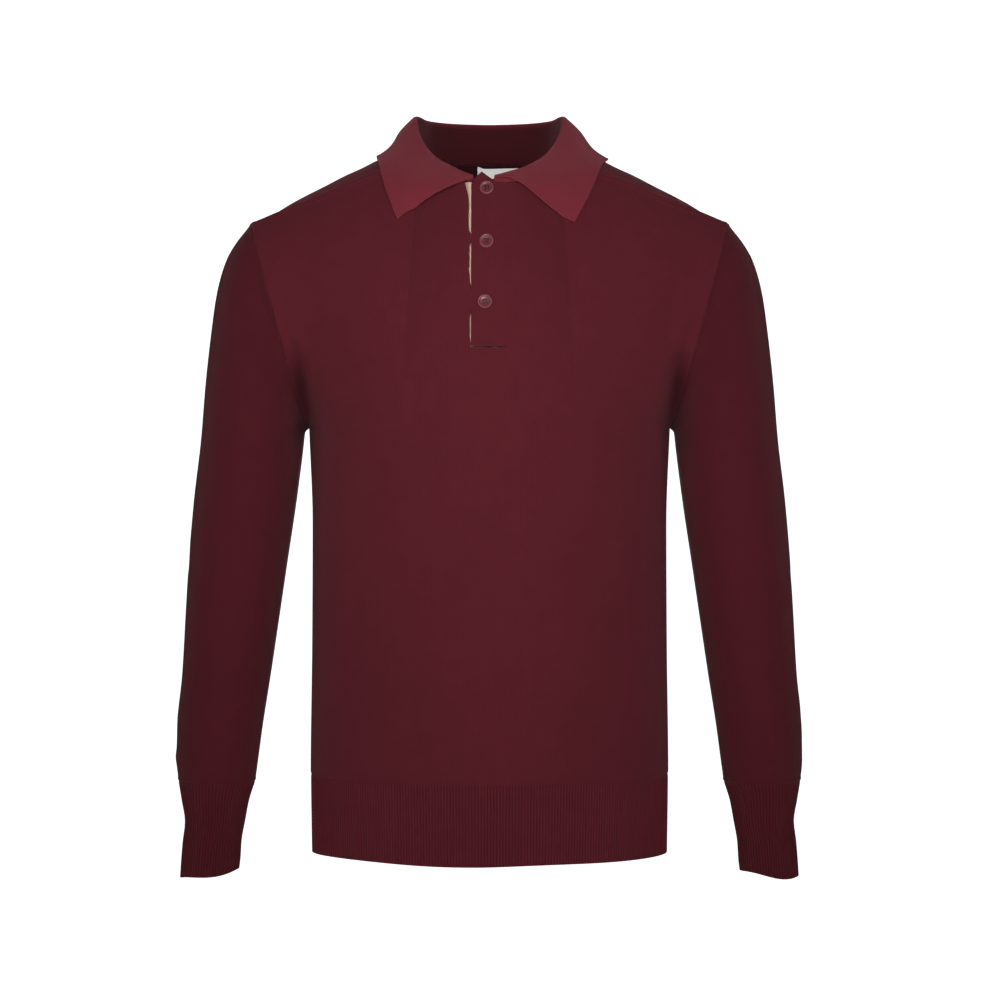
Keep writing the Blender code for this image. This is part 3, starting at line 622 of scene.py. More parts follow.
WINE = (0.122, 0.0150, 0.0235)
COLLAR_WINE = (0.222, 0.0275, 0.0415)
# The rib colour is a little lighter than the body's: painted light for the weaker light the hem
# gets.
RIB_WINE = (0.134, 0.0158, 0.0252)
SLEEVE_PAINTED_SHADE = 0.76          # painted shade: the sleeves and cuffs are darkened for the weaker light on them
RIB_PITCH = 3.2
body_knit = knitting("body_knit", WINE, darkened(WINE, 0.58))
# The sleeve and cuff finishes are darker copies of the body and rib finishes: painted shade.
sleeve_knit = knitting("sleeve_knit", darkened(WINE, SLEEVE_PAINTED_SHADE), darkened(WINE, 0.58 * SLEEVE_PAINTED_SHADE))
rib_knit = knitting("rib_knit", RIB_WINE, darkened(RIB_WINE, 0.35), furrow=RIB_PITCH)
cuff_knit = knitting("cuff_knit", darkened(RIB_WINE, SLEEVE_PAINTED_SHADE), darkened(RIB_WINE, 0.35 * SLEEVE_PAINTED_SHADE),
                     furrow=RIB_PITCH)
collar_knit = knitting("collar_knit", COLLAR_WINE, darkened(COLLAR_WINE, 0.64), sheen=0.18,
                       column=1.2, fuzz=0.35)
print("knitted finishes:", body_knit.name, rib_knit.name, collar_knit.name)

# %% Woven cotton, satin, thread and plastic
def woven(name, colour, shade, pitch, roughness, sheen):
    """Threads over and under each other."""
    finish = Finish(name, roughness, sheen=sheen, specular=0.3)
    across, along = finish.cloth_ways()
    warp = (across * (math.tau / pitch)).math("SINE")
    weft = (along * (math.tau / pitch)).math("SINE")
    height = warp * weft * 0.5 + 0.5
    slubs = finish.noise(260.0, 2.0)
    # The colour is darker where a thread dips, painted shade, mixed with random slubs.
    finish.feed(Base_Color=finish.mix((height * 0.5 + slubs * 0.5).math("MINIMUM", 1.0),
                                      shade, colour))
    finish.bump(height + slubs * 0.4, 0.4, 0.0002)
    return finish.material


def plastic(name, colour, shade):
    """Cast plastic with a faint cloud in it and a polished face."""
    finish = Finish(name, 0.28, specular=0.5)
    cloud = finish.noise(420.0, 3.0)
    finish.feed(Base_Color=finish.mix(cloud, shade, colour), Roughness=cloud * 0.2 + 0.2)
    return finish.material


def thread(name, colour):
    """Twisted sewing thread."""
    finish = Finish(name, 0.6, sheen=0.2)
    finish.feed(Base_Color=finish.mix(finish.noise(1500.0), darkened(colour, 0.6), colour))
    return finish.material


underlap_cotton = woven("underlap_cotton", (0.90, 0.68, 0.52), (0.38, 0.20, 0.15), 0.9, 0.8, 0.2)
label_satin = woven("label_satin", (0.96, 0.96, 0.95), (0.88, 0.88, 0.87), 0.5, 0.42, 0.2)
button_plastic = plastic("button_plastic", (0.150, 0.028, 0.038), (0.125, 0.023, 0.031))
rim_plastic = plastic("rim_plastic", (0.300, 0.095, 0.110), (0.220, 0.064, 0.076))
dark_thread = thread("dark_thread", (0.022, 0.006, 0.008))
print("trims:", underlap_cotton.name, label_satin.name, button_plastic.name, dark_thread.name)

# %% [markdown]
# ## The front and the back
# The two panels are knitted flat and meet at the side seams, at seams that lie a little
# forward of the shoulders, and at the armholes. Their columns of points run to the same
# stations along the shoulder, so the two grids share their points there and the seam is
# closed. The front is slit for the placket. Its left edge is drawn aside unevenly, and
# a sliver of the pale strip underneath shows, as it does on the real one.

# %% Stations of the panels
SLOT_RIGHT = PLACKET_RIGHT + 0.3
FOOT_ROWS = 26      # rows of points between the underarm and the placket's foot
SLOT_CELLS = 9      # columns of cells across the slit
SLIVER = table(
    "z width",
    (  -191, 0.4), (  -188, 0.1), (  -185, 0.4), (  -180, 1.3), (  -162, 1.3),
    (  -157,   0), (  -133,   0), (  -128,   1), (  -119, 1.7), (  -114, 2.4),
    (-110.5, 1.4), (  -107, 2.2), (  -104, 1.2), (  -101, 2.3), (   -97, 1.8),
    (   -92, 1.5), ( -88.5,   0), ( -80.5,   0), ( -77.5, 2.1), (   -66, 2.8),
    (   -52, 2.6), (   -45, 2.9), (   -40, 3.6), (   -34,   5), (   -28, 6.3),
)


def evenly_crowded(start, end, count):
    """Stations from start to end, closer together at both ends."""
    t = np.linspace(0, 1, count)
    return start + (end - start) * (t - 0.13 * np.sin(2 * math.pi * t))


def station_of_x(x):
    """The share of the half front at which the underarm row has this x."""
    shares = np.linspace(0, 0.4, 161)
    xs = body_section(UNDERARM_Z, shares, -1)[:, 0]
    return math.copysign(np.interp(abs(x), xs, shares), x)


heights = [chest(np.array([0.0]), rise, -1)[0, 2] for rise in np.linspace(0, 1, 201)]
foot_rise = float(np.interp(PLACKET_FOOT_Z - 0.3, heights, np.linspace(0, 1, 201)))
rises = np.concatenate([np.linspace(0, foot_rise, FOOT_ROWS + 1)[:-1],
                        foot_rise + (1 - foot_rise) * crowd(62, 1.35)])
levels = RIB_TOP_Z + (UNDERARM_Z - RIB_TOP_Z) * crowd(44, 1.5, at_start=True)[:-1]
shoulder = evenly_crowded(0, 1, 50)
slot_left, slot_right = station_of_x(PLACKET_LEFT), station_of_x(SLOT_RIGHT)
right = np.concatenate([evenly_crowded(slot_right, FRONT_NECK_SHARE, 28)[:-1],
                        FRONT_NECK_SHARE + (1 - FRONT_NECK_SHARE) * shoulder])
left = np.concatenate([evenly_crowded(-slot_left, FRONT_NECK_SHARE, 28)[:-1],
                       FRONT_NECK_SHARE + (1 - FRONT_NECK_SHARE) * shoulder])
across_slit = np.linspace(slot_left, slot_right, SLOT_CELLS + 1)[1:-1]
front_shares = np.concatenate([-left[::-1], across_slit, right])
SLIT_LEFT, SLIT_RIGHT = len(left) - 1, len(left) + SLOT_CELLS - 1
half_back = np.concatenate([np.linspace(0, BACK_NECK_SHARE, 30)[:-1],
                            BACK_NECK_SHARE + (1 - BACK_NECK_SHARE) * shoulder])
back_shares = np.concatenate([-half_back[:0:-1], half_back])
print(len(front_shares), "front and", len(back_shares), "back columns,", len(rises), "chest rows")

# %% The two panels as grids
def panel(shares, side):
    rows = [body_section(z, shares, side) for z in levels]
    rows += [chest(shares, rise, side) for rise in rises]
    return np.array(rows) if side < 0 else np.array(rows)[:, ::-1]


def open_the_slit(grid):
    """The edges of the slit hang plumb, the left one drawn aside by the sliver's width."""
    first = len(levels)
    for column, x in ((SLIT_LEFT, PLACKET_LEFT), (SLIT_RIGHT, SLOT_RIGHT)):
        move = x - grid[first:, column, 0]
        if x < 0:
            move -= smooth(SLIVER["z"], SLIVER["width"], grid[first:, column, 2])
            beside = front_shares[:len(left)] - front_shares[column]
            grid[first:, :len(left), 0] += move[:, None] * ease(1 + beside / 0.12)
        else:
            beside = front_shares[column:] - front_shares[column]
            grid[first:, column:, 0] += move[:, None] * ease(1 - beside / 0.12)
    return grid


front_grid = open_the_slit(panel(front_shares, -1))
back_grid = panel(back_shares, 1)

# %% [markdown]
# The folds of the panels: a soft valley runs down beside each armhole to the underarm,
# a couple of lesser ones fan out from it over the chest, and the body has long shallow
# waves where it hangs from the chest to the rib.

# %% Folds of the panels
FRONT_FOLDS = table(
    "from_x  from_z   to_x  to_z  bow  width  depth",
    (  -203,   -172,  -178, -262,   4,     9,  -3.2),
    (  -186,   -182,  -152, -272,   6,    15,   1.6),
    (  -176,   -266,  -112, -222,  -5,    13,  -1.7),
    (  -176,   -282,  -128, -318,   4,    12,  -0.9),
    (  -120,   -330,  -132, -560,   9,    24,  -1.1),
    (   -70,   -300,   -58, -585,  -7,    30,   0.9),
    (   203,   -168, 178.5, -260,  -5,   8.5,  -3.4),
    (   184,   -190,   154, -268,  -5,    14,   1.4),
    (   176,   -268,   104, -212,   6,    12,  -1.5),
    (   175,   -290,   140, -330,  -3,    11,  -0.8),
    (   128,   -310,   118, -575,  -8,    26,  -1.2),
    (    46,   -340,    62, -590,   6,    28,   0.8),
    (    30,   -205,    84, -330,   9,    26,  -0.7),
    (   -34,   -215,   -88, -300,  -7,    24,  -0.7),
    (  -150,   -596,   -96, -602,   2,     7,   0.9),
    (   104,   -594,   158, -600,  -2,   7.5,   0.8),
)
BACK_FOLDS = table(
    "from_x  from_z  to_x  to_z  bow  width  depth",
    (  -196,   -160, -176, -262,   6,    10,  -2.8),
    (  -176,   -268,  -96, -206,  -8,    15,  -1.8),
    (  -174,   -292, -110, -352,   5,    14,  -1.2),
    (   197,   -166,  176, -262,  -6,     9,    -3),
    (   176,   -270,   88, -196,   9,    14,  -1.6),
    (   174,   -296,  118, -370,  -6,    13,  -1.1),
    (   -40,    -90,  -66, -330,  12,    30,  -1.4),
    (    52,   -110,   60, -350, -10,    28,  -1.2),
    (     8,   -330,  -14, -580,   8,    26,   1.3),
    (  -104,   -360, -112, -590,  -9,    24,  -1.2),
    (    96,   -380,  108, -590,   8,    22,  -1.4),
    (   -70,   -598,   10, -592,   3,     8,     1),
)


def share_seam_normals(sheets):
    """Sheets that meet point for point at a seam turn their walls the same way there."""
    meeting = {}
    for grid, normal in sheets:
        rows, columns = grid.shape[:2]
        border = {(i, j) for i in range(rows) for j in (0, columns - 1)}
        border |= {(i, j) for i in (0, rows - 1) for j in range(columns)}
        for i, j in border:
            meeting.setdefault(tuple(np.round(grid[i, j], 1)), []).append((normal, i, j))
    for places in meeting.values():
        total = sum(normal[i, j] for normal, i, j in places)
        if len(places) > 1 and np.linalg.norm(total) > 0.2:
            for normal, i, j in places:
                normal[i, j] = total / np.linalg.norm(total)

# %% [markdown]
# ## The sleeves
# Each sleeve is one tube, sewn under the arm. Its first ring is the armhole, point for
# point, and the rest come from the sleeve's table. Light catches a few slanting creases
# at the elbow and where the forearm settles on the cuff, and the tube starts at the
# underarm so that the join of its UV map lies there too.

# %% Sleeves as grids
def rings(rows, angles, side):
    """Rings of a sleeve or cuff: angle 0 is the outer edge and pi the inner."""
    grid = []
    for k in range(len(rows["outer_x"])):
        row = {name: column[k] for name, column in rows.items()}
        turn_out = (1 + np.cos(angles)) / 2
        x = row["inner_x"] + (row["outer_x"] - row["inner_x"]) * turn_out
        z = row["inner_z"] + (row["outer_z"] - row["inner_z"]) * turn_out
        forward = np.sin(angles)
        y = row["middle_y"] - forward * np.where(forward > 0, row["front"], row["back"])
        grid.append(np.stack([side * x, y, z], -1))
    return np.array(grid)


def between_rings(grid, count):
    """More rings, evenly spread by ring number and crowded at both ends."""
    order = np.arange(len(grid), dtype=float)
    at = evenly_crowded(0, len(grid) - 1, count)
    columns = [np.stack([smooth(order, grid[:, j, k], at) for k in range(3)], -1)
               for j in range(grid.shape[1])]
    return np.array(columns).transpose(1, 0, 2)


def from_underarm(values):
    """A closed row of columns, turned so that it starts and ends under the arm."""
    middle = values.shape[1] // 2
    return np.concatenate([values[:, middle:-1], values[:, :middle + 1]], axis=1)


def sleeve(side):
    one = np.array([float(side)])
    armhole_front = [chest(one, rise, -1)[0] for rise in rises]
    armhole_back = [chest(one, rise, 1)[0] for rise in rises]
    armhole = np.array(armhole_front[::-1] + armhole_back[1:])
    around = np.concatenate([math.pi * (1 - rises[::-1]), math.pi * (1 + rises[1:])])
    grid = between_rings(np.concatenate([armhole[None], rings(SLEEVE, around, side)]), 112)
    grid[0] = armhole
    grid[:, -1] = grid[:, 0]
    grid, around = from_underarm(grid[::-1]), from_underarm(around[None])[0]
    turn = np.where(around > math.pi, around - 2 * math.pi, around) / math.pi
    turn = np.where((turn > 0.999) & (np.arange(len(turn)) < len(turn) // 2), -1.0, turn)
    return (grid[:, ::-1], turn[::-1]) if side > 0 else (grid, turn)


sleeve_left, turn_left = sleeve(-1)
sleeve_right, turn_right = sleeve(1)
print("sleeve grid", sleeve_left.shape)

# %% [markdown]
# The folds of a sleeve are drawn on the tube laid flat. Across it runs from 0 at the
# outer edge to 150 at the inner one, positive in front and negative behind.

# %% Folds of the sleeves
HALF_TURN = 150.0
SLEEVE_FOLDS_LEFT = table(
    "from_x  from_z  to_x  to_z  bow  width  depth",
    (    10,   -398,   95, -446,   5,   8.5,    -2),
    (    22,   -376,   80, -414,   4,    10,   1.1),
    (    48,   -470,  130, -448,  -5,     9,  -1.3),
    (    20,   -560,   96, -585,   4,     8,  -1.4),
    (    64,   -598,  140, -586,   3,     7,  -1.1),
    (   -20,   -590,   40, -600,   3,     7,   0.9),
    (    70,   -250,  118, -150,   9,    13,    -2),
    (   100,   -300,  142, -262,  -4,     9,  -1.6),
    (   -30,   -410, -110, -440,   6,    10,  -1.8),
    (  -120,   -300,  -60, -240,   7,    14,  -1.8),
    (  -100,   -570,  -30, -590,   5,     8,  -1.2),
)
SLEEVE_FOLDS_RIGHT = table(
    "from_x  from_z  to_x  to_z  bow  width  depth",
    (    14,   -412,   88, -452,   6,     9,  -1.7),
    (    30,   -384,   92, -418,   5,    11,     1),
    (    40,   -486,  120, -462,  -6,   9.5,  -1.2),
    (     8,   -552,   84, -580,   5,   8.5,  -1.5),
    (    60,   -600,  132, -588,   3,     7,  -1.2),
    (    68,   -240,  120, -146,   8,    12,  -2.2),
    (   104,   -312,  140, -266,  -5,     9,  -1.4),
    (   -24,   -396, -104, -430,   5,     9,  -1.7),
    (  -116,   -310,  -58, -236,   8,    13,    -2),
    (   -92,   -560,  -26, -586,   4,     8,  -1.3),
)

# %% Build the panels and sleeves
cloth = {}
for name, grid, closed in (("front", front_grid, False), ("back", back_grid, False),
                           ("sleeve_left", sleeve_left, True),
                           ("sleeve_right", sleeve_right, True)):
    cloth[name] = (grid, grid_normals(grid, closed), closed)
share_seam_normals([(grid, normal) for grid, normal, _ in cloth.values()])


def raised(name, height, middle_column):
    """The outer and inner faces of a sheet that has been pushed in and out."""
    grid, normal, closed = cloth[name]
    outer = grid + normal * height[..., None]
    return outer, outer - normal * CLOTH, cloth_uv(grid, middle_column)


def panel_height(name, folds):
    grid = cloth[name][0]
    height = fold_height(grid[..., 0], grid[..., 2], folds)
    sides = edge_distance(grid, left=True, right=True)
    height = height * ease(sides / 14) * ease(edge_distance(grid, bottom=True) / 10)
    top = edge_distance(grid, top=True)
    over_shoulder = ease((np.abs(grid[-1, :, 0]) - 72) / 10)
    height += 0.75 * bell(top, 3.4, 2.3) * over_shoulder
    return height + seam_height(edge_distance(grid, top=True, bottom=True, left=True, right=True))


def sleeve_height(name, turn, folds):
    grid = cloth[name][0]
    across = np.broadcast_to(turn * HALF_TURN, grid.shape[:2])
    height = fold_height(across, grid[..., 2], folds)
    edges = edge_distance(grid, top=True, bottom=True)
    return height * ease(edges / 12) + seam_height(edges)


def underarm_shade(name):
    """The shade of the narrow valley that runs up from the underarm between the pieces."""
    grid = cloth[name][0]
    up = -grid[..., 2] - 199
    half_width = np.where(up < 0, 9 + up / 8, 9).clip(3)
    beside = (np.abs(grid[..., 0]) - (188.7 - 0.1 * up)) / half_width
    shade = 0.85 * np.exp(-beside ** 2) * ease((up + 24) / 50) * ease((150 - up) / 90)
    return shade * ease((60 - np.abs(grid[..., 1])) / 30 + 0.9)


slit = np.zeros((len(front_grid) - 1, len(front_shares) - 1), bool)
slit[len(levels) + FOOT_ROWS:, SLIT_LEFT:SLIT_RIGHT] = True
faces = raised("front", panel_height("front", FRONT_FOLDS), (SLIT_LEFT + SLIT_RIGHT) // 2)
front_piece = cloth_mesh("front_panel", *faces, body_knit, missing=slit,
                         hollow=underarm_shade("front"))
faces = raised("back", panel_height("back", BACK_FOLDS), len(half_back) - 1)
back_piece = cloth_mesh("back_panel", *faces, body_knit, hollow=underarm_shade("back"))
sleeve_pieces = []
for name, turn, folds in (("sleeve_left", turn_left, SLEEVE_FOLDS_LEFT),
                          ("sleeve_right", turn_right, SLEEVE_FOLDS_RIGHT)):
    faces = raised(name, sleeve_height(name, turn, folds), len(turn) // 2)
    sleeve_pieces.append(cloth_mesh(f"{name}_tube", *faces, sleeve_knit, closed=True,
                                    hollow=underarm_shade(name)))

# %% [markdown]
# ## The ribs
# A rib is knitting that goes in and out in columns, so that it can stretch. At the hem
# and the cuffs the columns are about 3 mm wide and are real relief here: six columns of
# points to a rib follow a cosine. The free edge is drawn together so that it looks
# rounded, as a finished edge of rib does.

# %% Hem and cuffs
RIB_RELIEF = 0.42


def rib_piece(name, grid, rib_columns, closed):
    """A ribbed sheet: every `rib_columns` columns of points are one rib."""
    columns = np.arange(grid.shape[1])
    ridge = (np.cos(columns * math.tau / rib_columns) - 1) / 2
    top, bottom = edge_distance(grid, top=True), edge_distance(grid, bottom=True)
    fade = ease(top / 5) * ease((bottom + 1) / 3)
    height = ridge[None] * RIB_RELIEF * 2 * fade - 0.5 * bell(top, 0, 1.2)
    normal = grid_normals(grid, closed)
    outer = grid + normal * height[..., None]
    inner = outer - normal * CLOTH
    for edge in (outer, inner):
        middle = (outer[0] + inner[0]) / 2
        edge[0] = middle + (edge[0] - middle) * 0.4
    across = (columns - grid.shape[1] // 2) / rib_columns * RIB_PITCH
    upward = running_length(grid, 0)
    uv = np.stack([np.broadcast_to(across, upward.shape), upward], -1) / 100
    return cloth_mesh(name, outer, inner, uv, cuff_knit if closed else rib_knit, closed=closed)


def hem_grid(side, ribs):
    shares = np.linspace(-1, 1, ribs * 6 + 1)
    heights = HEM_Z + (RIB_TOP_Z - HEM_Z) * evenly_crowded(0, 1, 15)
    grid = np.array([body_section(z, shares, side) for z in heights])
    grid[..., 2] += 0.7 * np.sin(grid[..., 0] / 31) * ease((RIB_TOP_Z - grid[..., 2]) / 79)
    return grid if side < 0 else grid[:, ::-1]


def cuff_grid(side, ribs):
    around = math.pi + np.linspace(0, math.tau, ribs * 6 + 1)
    grid = between_rings(rings(CUFF, around, side), 28)[::-1]
    low = ease((-615 - grid[..., 2]) / 90)
    grid[..., 2] += 1.1 * low * np.sin(3 * around + side)
    grid[..., 1] += 0.8 * low * np.sin(4 * around)
    grid[:, -1] = grid[:, 0]
    return grid[:, ::-1] if side > 0 else grid


hem_front = rib_piece("hem_rib_front", hem_grid(-1, 150), 6, False)
hem_back = rib_piece("hem_rib_back", hem_grid(1, 149), 6, False)
cuffs = [rib_piece("cuff_rib_left", cuff_grid(-1, 66), 6, True),
         rib_piece("cuff_rib_right", cuff_grid(1, 66), 6, True)]

# %% [markdown]
# ## The collar
# The collar is one band of closer knitting. Its stand rises from the neckline, turns
# over at the fold, and its leaf comes down to the edge, which is deepest at the two
# points. A column of points follows that path at every station from the viewer's left
# end, round the back of the neck, to the right end. The leaf rests on the chest and on
# the shoulders, so its points ask the body how far out they must be.

# %% The collar's path
STAND_ROWS, TURN_ROWS, LEAF_ROWS = 9, 10, 30
FOLD_RADIUS = 2.6
# Where the leaf goes over the shoulder it swells below the fold and dips at its edge.
LEAF_WAVE, SHOULDER_SPREAD = 2.9, 0.12


def neck_path(side):
    """Points of the neckline from the centre back to the centre front, on one side."""
    back = np.linspace(0, BACK_NECK_SHARE, 44)
    path = [top_edge(np.array([s * side]), BACK_NECKLINE, BACK_NECK_SHARE)[0] for s in back]
    last = slot_right if side > 0 else -slot_left
    for s in np.linspace(FRONT_NECK_SHARE, last, 26)[1:]:
        point = top_edge(np.array([s * side]), FRONT_NECKLINE, FRONT_NECK_SHARE)[0]
        if side < 0:
            point[0] -= SLIVER["width"][-1] * ease(1 + (last - s) / 0.12)
        path.append(point)
    end_x, end_z = COLLAR_END_RIGHT if side > 0 else COLLAR_END_LEFT
    if side > 0:
        start = path[-1]
        end = on_front(end_x, end_z, 0.0)
        path += [start + (end - start) * t for t in (0.35, 0.7, 0.9, 1.0)]
    else:
        path[-1] = on_front(end_x, end_z, 0.0)
    return np.array(path)


def collar_column(seam, out, share, side, end_x):
    """One section of the collar, up from its seam, over the fold and down to its edge."""
    at = np.array([share])
    fold, edge = (read(COLLAR, f"{part}_x {part}_y {part}_z", "share", at)[0]
                  for part in ("fold", "edge"))
    clearance, bulge = read(COLLAR, "off_body crown", "share", share)
    near_end = max(0.0, (share - 0.84) / 0.16)
    (tip_out, tip_up), (bow, far, near) = ((TIP_RIGHT, BOW_RIGHT) if side > 0
                                           else (TIP_LEFT, BOW_LEFT))
    peak = far / (far + near)
    edge += np.array([tip_out, 0, tip_up]) * ease((share - 0.6) / 0.4)
    if side > 0:
        edge += np.array(RIGHT_SIDE_DROP) * bell(share, 0.47, SHOULDER_SPREAD)
    fold[0] = side * (fold[0] + (abs(end_x) - COLLAR["fold_x"][-1]) * near_end)
    edge[0] *= side
    edge = off_body(edge, clearance, 1.0)
    radius = FOLD_RADIUS * (1 - 0.35 * near_end)
    stand_top = fold - np.array([0, 0, radius])
    foot = seam + np.array([0, 0, 0.4 - (1.1 * near_end if side > 0 else 0)])
    points = [foot + (stand_top - foot) * k / STAND_ROWS for k in range(STAND_ROWS)]
    for k in range(TURN_ROWS + 1):
        angle = math.pi * 0.9 * k / TURN_ROWS
        points.append(stand_top + out * radius * (1 - math.cos(angle))
                      + np.array([0, 0, radius * math.sin(angle)]))
    start = points[-1]
    for u in crowd(LEAF_ROWS + 1, 1.5)[1:]:
        crown = math.sin(math.pi * u) * bulge * np.linalg.norm(edge - start)
        point = start + (edge - start) * u + (out + np.array([0, 0, 1.0])) / math.sqrt(2) * crown
        point += out * LEAF_WAVE * bell(share, 0.43, SHOULDER_SPREAD) * math.sin(math.tau * u)
        point[2] += bow * near_end ** 2 * (u / peak) ** far * ((1 - u) / (1 - peak)) ** near
        rest = max(ease((u - 0.3) / 0.3), ease((share - 0.5) / 0.15))
        points.append(point + (off_body(point, clearance, near_end * u) - point) * rest)
    return np.array(points)


def collar_grid():
    """The middle of the collar's cloth, from the viewer's left end round to the right."""
    halves = []
    for side in (-1, 1):
        path = neck_path(side)
        lengths = np.concatenate([[0], np.cumsum(np.linalg.norm(np.diff(path, axis=0), axis=1))])
        stations = crowd(72, 1.35) * lengths[-1]
        path = np.stack([np.interp(stations, lengths, path[:, k]) for k in range(3)], -1)
        along = np.gradient(path, axis=0)
        out = side * np.stack([-along[:, 1], along[:, 0], np.zeros(len(path))], -1)
        out /= np.linalg.norm(out, axis=1, keepdims=True)
        for _ in range(6):
            out[1:-1] = (out[:-2] + out[1:-1] + out[2:]) / 3
        halves.append([collar_column(p, o, s, side, path[-1, 0])
                       for p, o, s in zip(path, out, stations / lengths[-1])])
    left_half, right_half = halves
    return np.array(left_half[:0:-1] + right_half).transpose(1, 0, 2)


def relax(grid, rounds, keep_ends=True):
    """Evens out small jumps between neighbouring points, edges kept."""
    for _ in range(rounds):
        middle = (grid[1:-1, :-2] + grid[1:-1, 2:] + grid[:-2, 1:-1] + grid[2:, 1:-1]) / 4
        grid[1:-1, 1:-1] = grid[1:-1, 1:-1] * 0.5 + middle * 0.5
        if not keep_ends:
            grid[-1, 1:-1] = grid[-1, 1:-1] * 0.5 + (grid[-1, :-2] + grid[-1, 2:]) / 4
    return grid

# %% [markdown]
# The collar's edges are its most visible ones, so they are made with care: the cloth
# gets thinner over the last millimetre, which rounds the edge, and a slight roll runs
# inside it where the knitting was cast off.

# %% Build the collar
grid = relax(collar_grid(), 6, keep_ends=False)
normal = grid_normals(grid, False)
normal[0, :, 2] = 0
normal[0] /= np.linalg.norm(normal[0], axis=1, keepdims=True)
away = edge_distance(grid, top=True, left=True, right=True)
roll = 0.30 * bell(away, 1.6, 0.9)
half = CLOTH / 2 * round_edge(away, 1.1, least=0.03)
outer = grid + normal * (half + roll)[..., None]
inner = grid - normal * half[..., None]
in_neck = ease((STAND_ROWS + 5 - np.arange(len(grid))) / 6)[:, None] * np.ones(grid.shape[1])
collar_piece = cloth_mesh("collar_band", outer, inner, cloth_uv(grid, grid.shape[1] // 2),
                          collar_knit, hollow=in_neck, lit_within=True)

# %% [markdown]
# ## The placket
# The strip with the buttonholes lies on top, its free edge on the viewer's left and its
# upper corner standing in a peak beside the collar. Its edges are turned under, so they
# are round, and a row of dark stitches holds its foot. The strip beneath is woven cotton.
# It swells up in the slit, and that is the pale sliver beside the placket.

# %% The strip on top
STRIP_TOP = table(
    "   x      z",
    (PLACKET_LEFT,   -31),
    ( -13, -23.8),
    (-7.4, -18.7),
    ( 4.7, -27.9),
    (PLACKET_RIGHT + 0.5, -28.3),
)
OVERLAP_LIFT = 0.6
columns = evenly_crowded(PLACKET_LEFT, PLACKET_RIGHT + 0.5, 36)
columns[np.argmin(abs(columns - STRIP_TOP["x"][2]))] = STRIP_TOP["x"][2]
tops = np.interp(columns, STRIP_TOP["x"], STRIP_TOP["z"])
foot_shares = np.array([station_of_x(x) for x in columns])
foot = chest(foot_shares, foot_rise, -1)[:, 2] + 0.4
rows_up = evenly_crowded(0, 1, 96)
grid = np.array([[on_front(x, low + (top - low) * t, OVERLAP_LIFT)
                  for x, low, top in zip(columns, foot, tops)] for t in rows_up])
grid = relax(grid, 4)
away = edge_distance(grid, top=True, bottom=True, left=True)
height = -0.9 * (1 - round_edge(away, 1.2))
height += 0.25 * bell(away, 2.0, 1.1)
height += 0.3 * np.sin(grid[..., 2] / 19) * ease(away / 6)
for x, z in BUTTON_PLACES:
    near = np.hypot(grid[..., 0] - x, grid[..., 2] - z)
    height -= 0.35 * bell(near, 9, 2.5)
normal = grid_normals(grid, False)
outer = grid + normal * height[..., None]
inner = grid - normal * CLOTH
overlap_piece = cloth_mesh("placket_strip", outer, inner, cloth_uv(grid, 18), body_knit)

# %% The strip beneath
UNDERLAP_SINK = CLOTH + 0.8
columns = np.concatenate([np.linspace(-27, -21, 6), np.linspace(-20.5, -17.6, 12),
                          np.linspace(-17, 9, 14)])
heights = np.linspace(-28.8, -197, 120)[::-1]
grid = np.array([[on_front(x, z, -UNDERLAP_SINK) for x in columns] for z in heights])
swell = smooth(SLIVER["z"], SLIVER["width"], heights)
middle = PLACKET_LEFT - np.maximum(swell, 0.8) / 2 - 0.2
swelling = (np.minimum(swell / 1.6, 1.0) * 1.9)[:, None] * bell(
    columns[None], middle[:, None], np.maximum(swell / 1.7, 0.7)[:, None])
swelling *= (columns < PLACKET_LEFT)[None]
normal = grid_normals(grid, False)
outer = grid + normal * swelling[..., None]
underlap_piece = cloth_mesh("placket_lining", outer, outer - normal * 1.2,
                            cloth_uv(grid, 15), underlap_cotton)

# %% [markdown]
# Sewing stitches are short rods of thread that dip into the cloth at both ends. One rod
# is a cylinder of eight sides with its ends drawn in, and the row repeats it.

# %% Stitches at the placket's foot
def rod(mesh, start, end, radius):
    """A short stitch of thread from start to end, in millimetres."""
    start, end = Vector(start), Vector(end)
    turn = (end - start).to_track_quat("Z", "Y").to_matrix().to_4x4()
    made = bmesh.ops.create_cone(mesh, cap_ends=True, segments=8, radius1=radius * 0.6,
                                 radius2=radius * 0.6, depth=(end - start).length,
                                 matrix=Matrix.Translation((start + end) / 2) @ turn)
    edges = {edge for vert in made["verts"] for edge in vert.link_edges
             if abs((edge.verts[0].co - edge.verts[1].co).length - (end - start).length) < 1e-4}
    cut = bmesh.ops.subdivide_edges(mesh, edges=list(edges), cuts=2)
    for item in cut["geom_inner"]:
        if isinstance(item, bmesh.types.BMVert):
            axis = (start + end) / 2
            way = (end - start).normalized()
            spoke = item.co - axis - way * (item.co - axis).dot(way)
            item.co += spoke * 0.66


STITCH_COUNT, STITCH_PITCH, STITCH_LENGTH, THREAD_RADIUS = 13, 2.35, 1.85, 0.52
mesh = bmesh.new()
for k in range(STITCH_COUNT):
    x = PLACKET_LEFT + 1.2 + k * STITCH_PITCH
    low = PLACKET_FOOT_Z + 0.7 + 0.12 * math.sin(2.3 * k)
    start = on_front(x, low, OVERLAP_LIFT)
    end = on_front(x + STITCH_LENGTH, low + 0.1 * math.sin(k), OVERLAP_LIFT)
    rod(mesh, start, end, THREAD_RADIUS)
for vert in mesh.verts:
    vert.co *= MM
stitches_piece = finish_piece("placket_stitches", mesh, dark_thread)

# %% [markdown]
# ## The buttons
# A shirt button is turned: half its outline is spun about its axis. The face is a
# shallow dish inside a rounded rim, with four holes. The holes are cut with cylinders by
# an exact Boolean, which is the nearest thing to drilling them, and thread fills them.

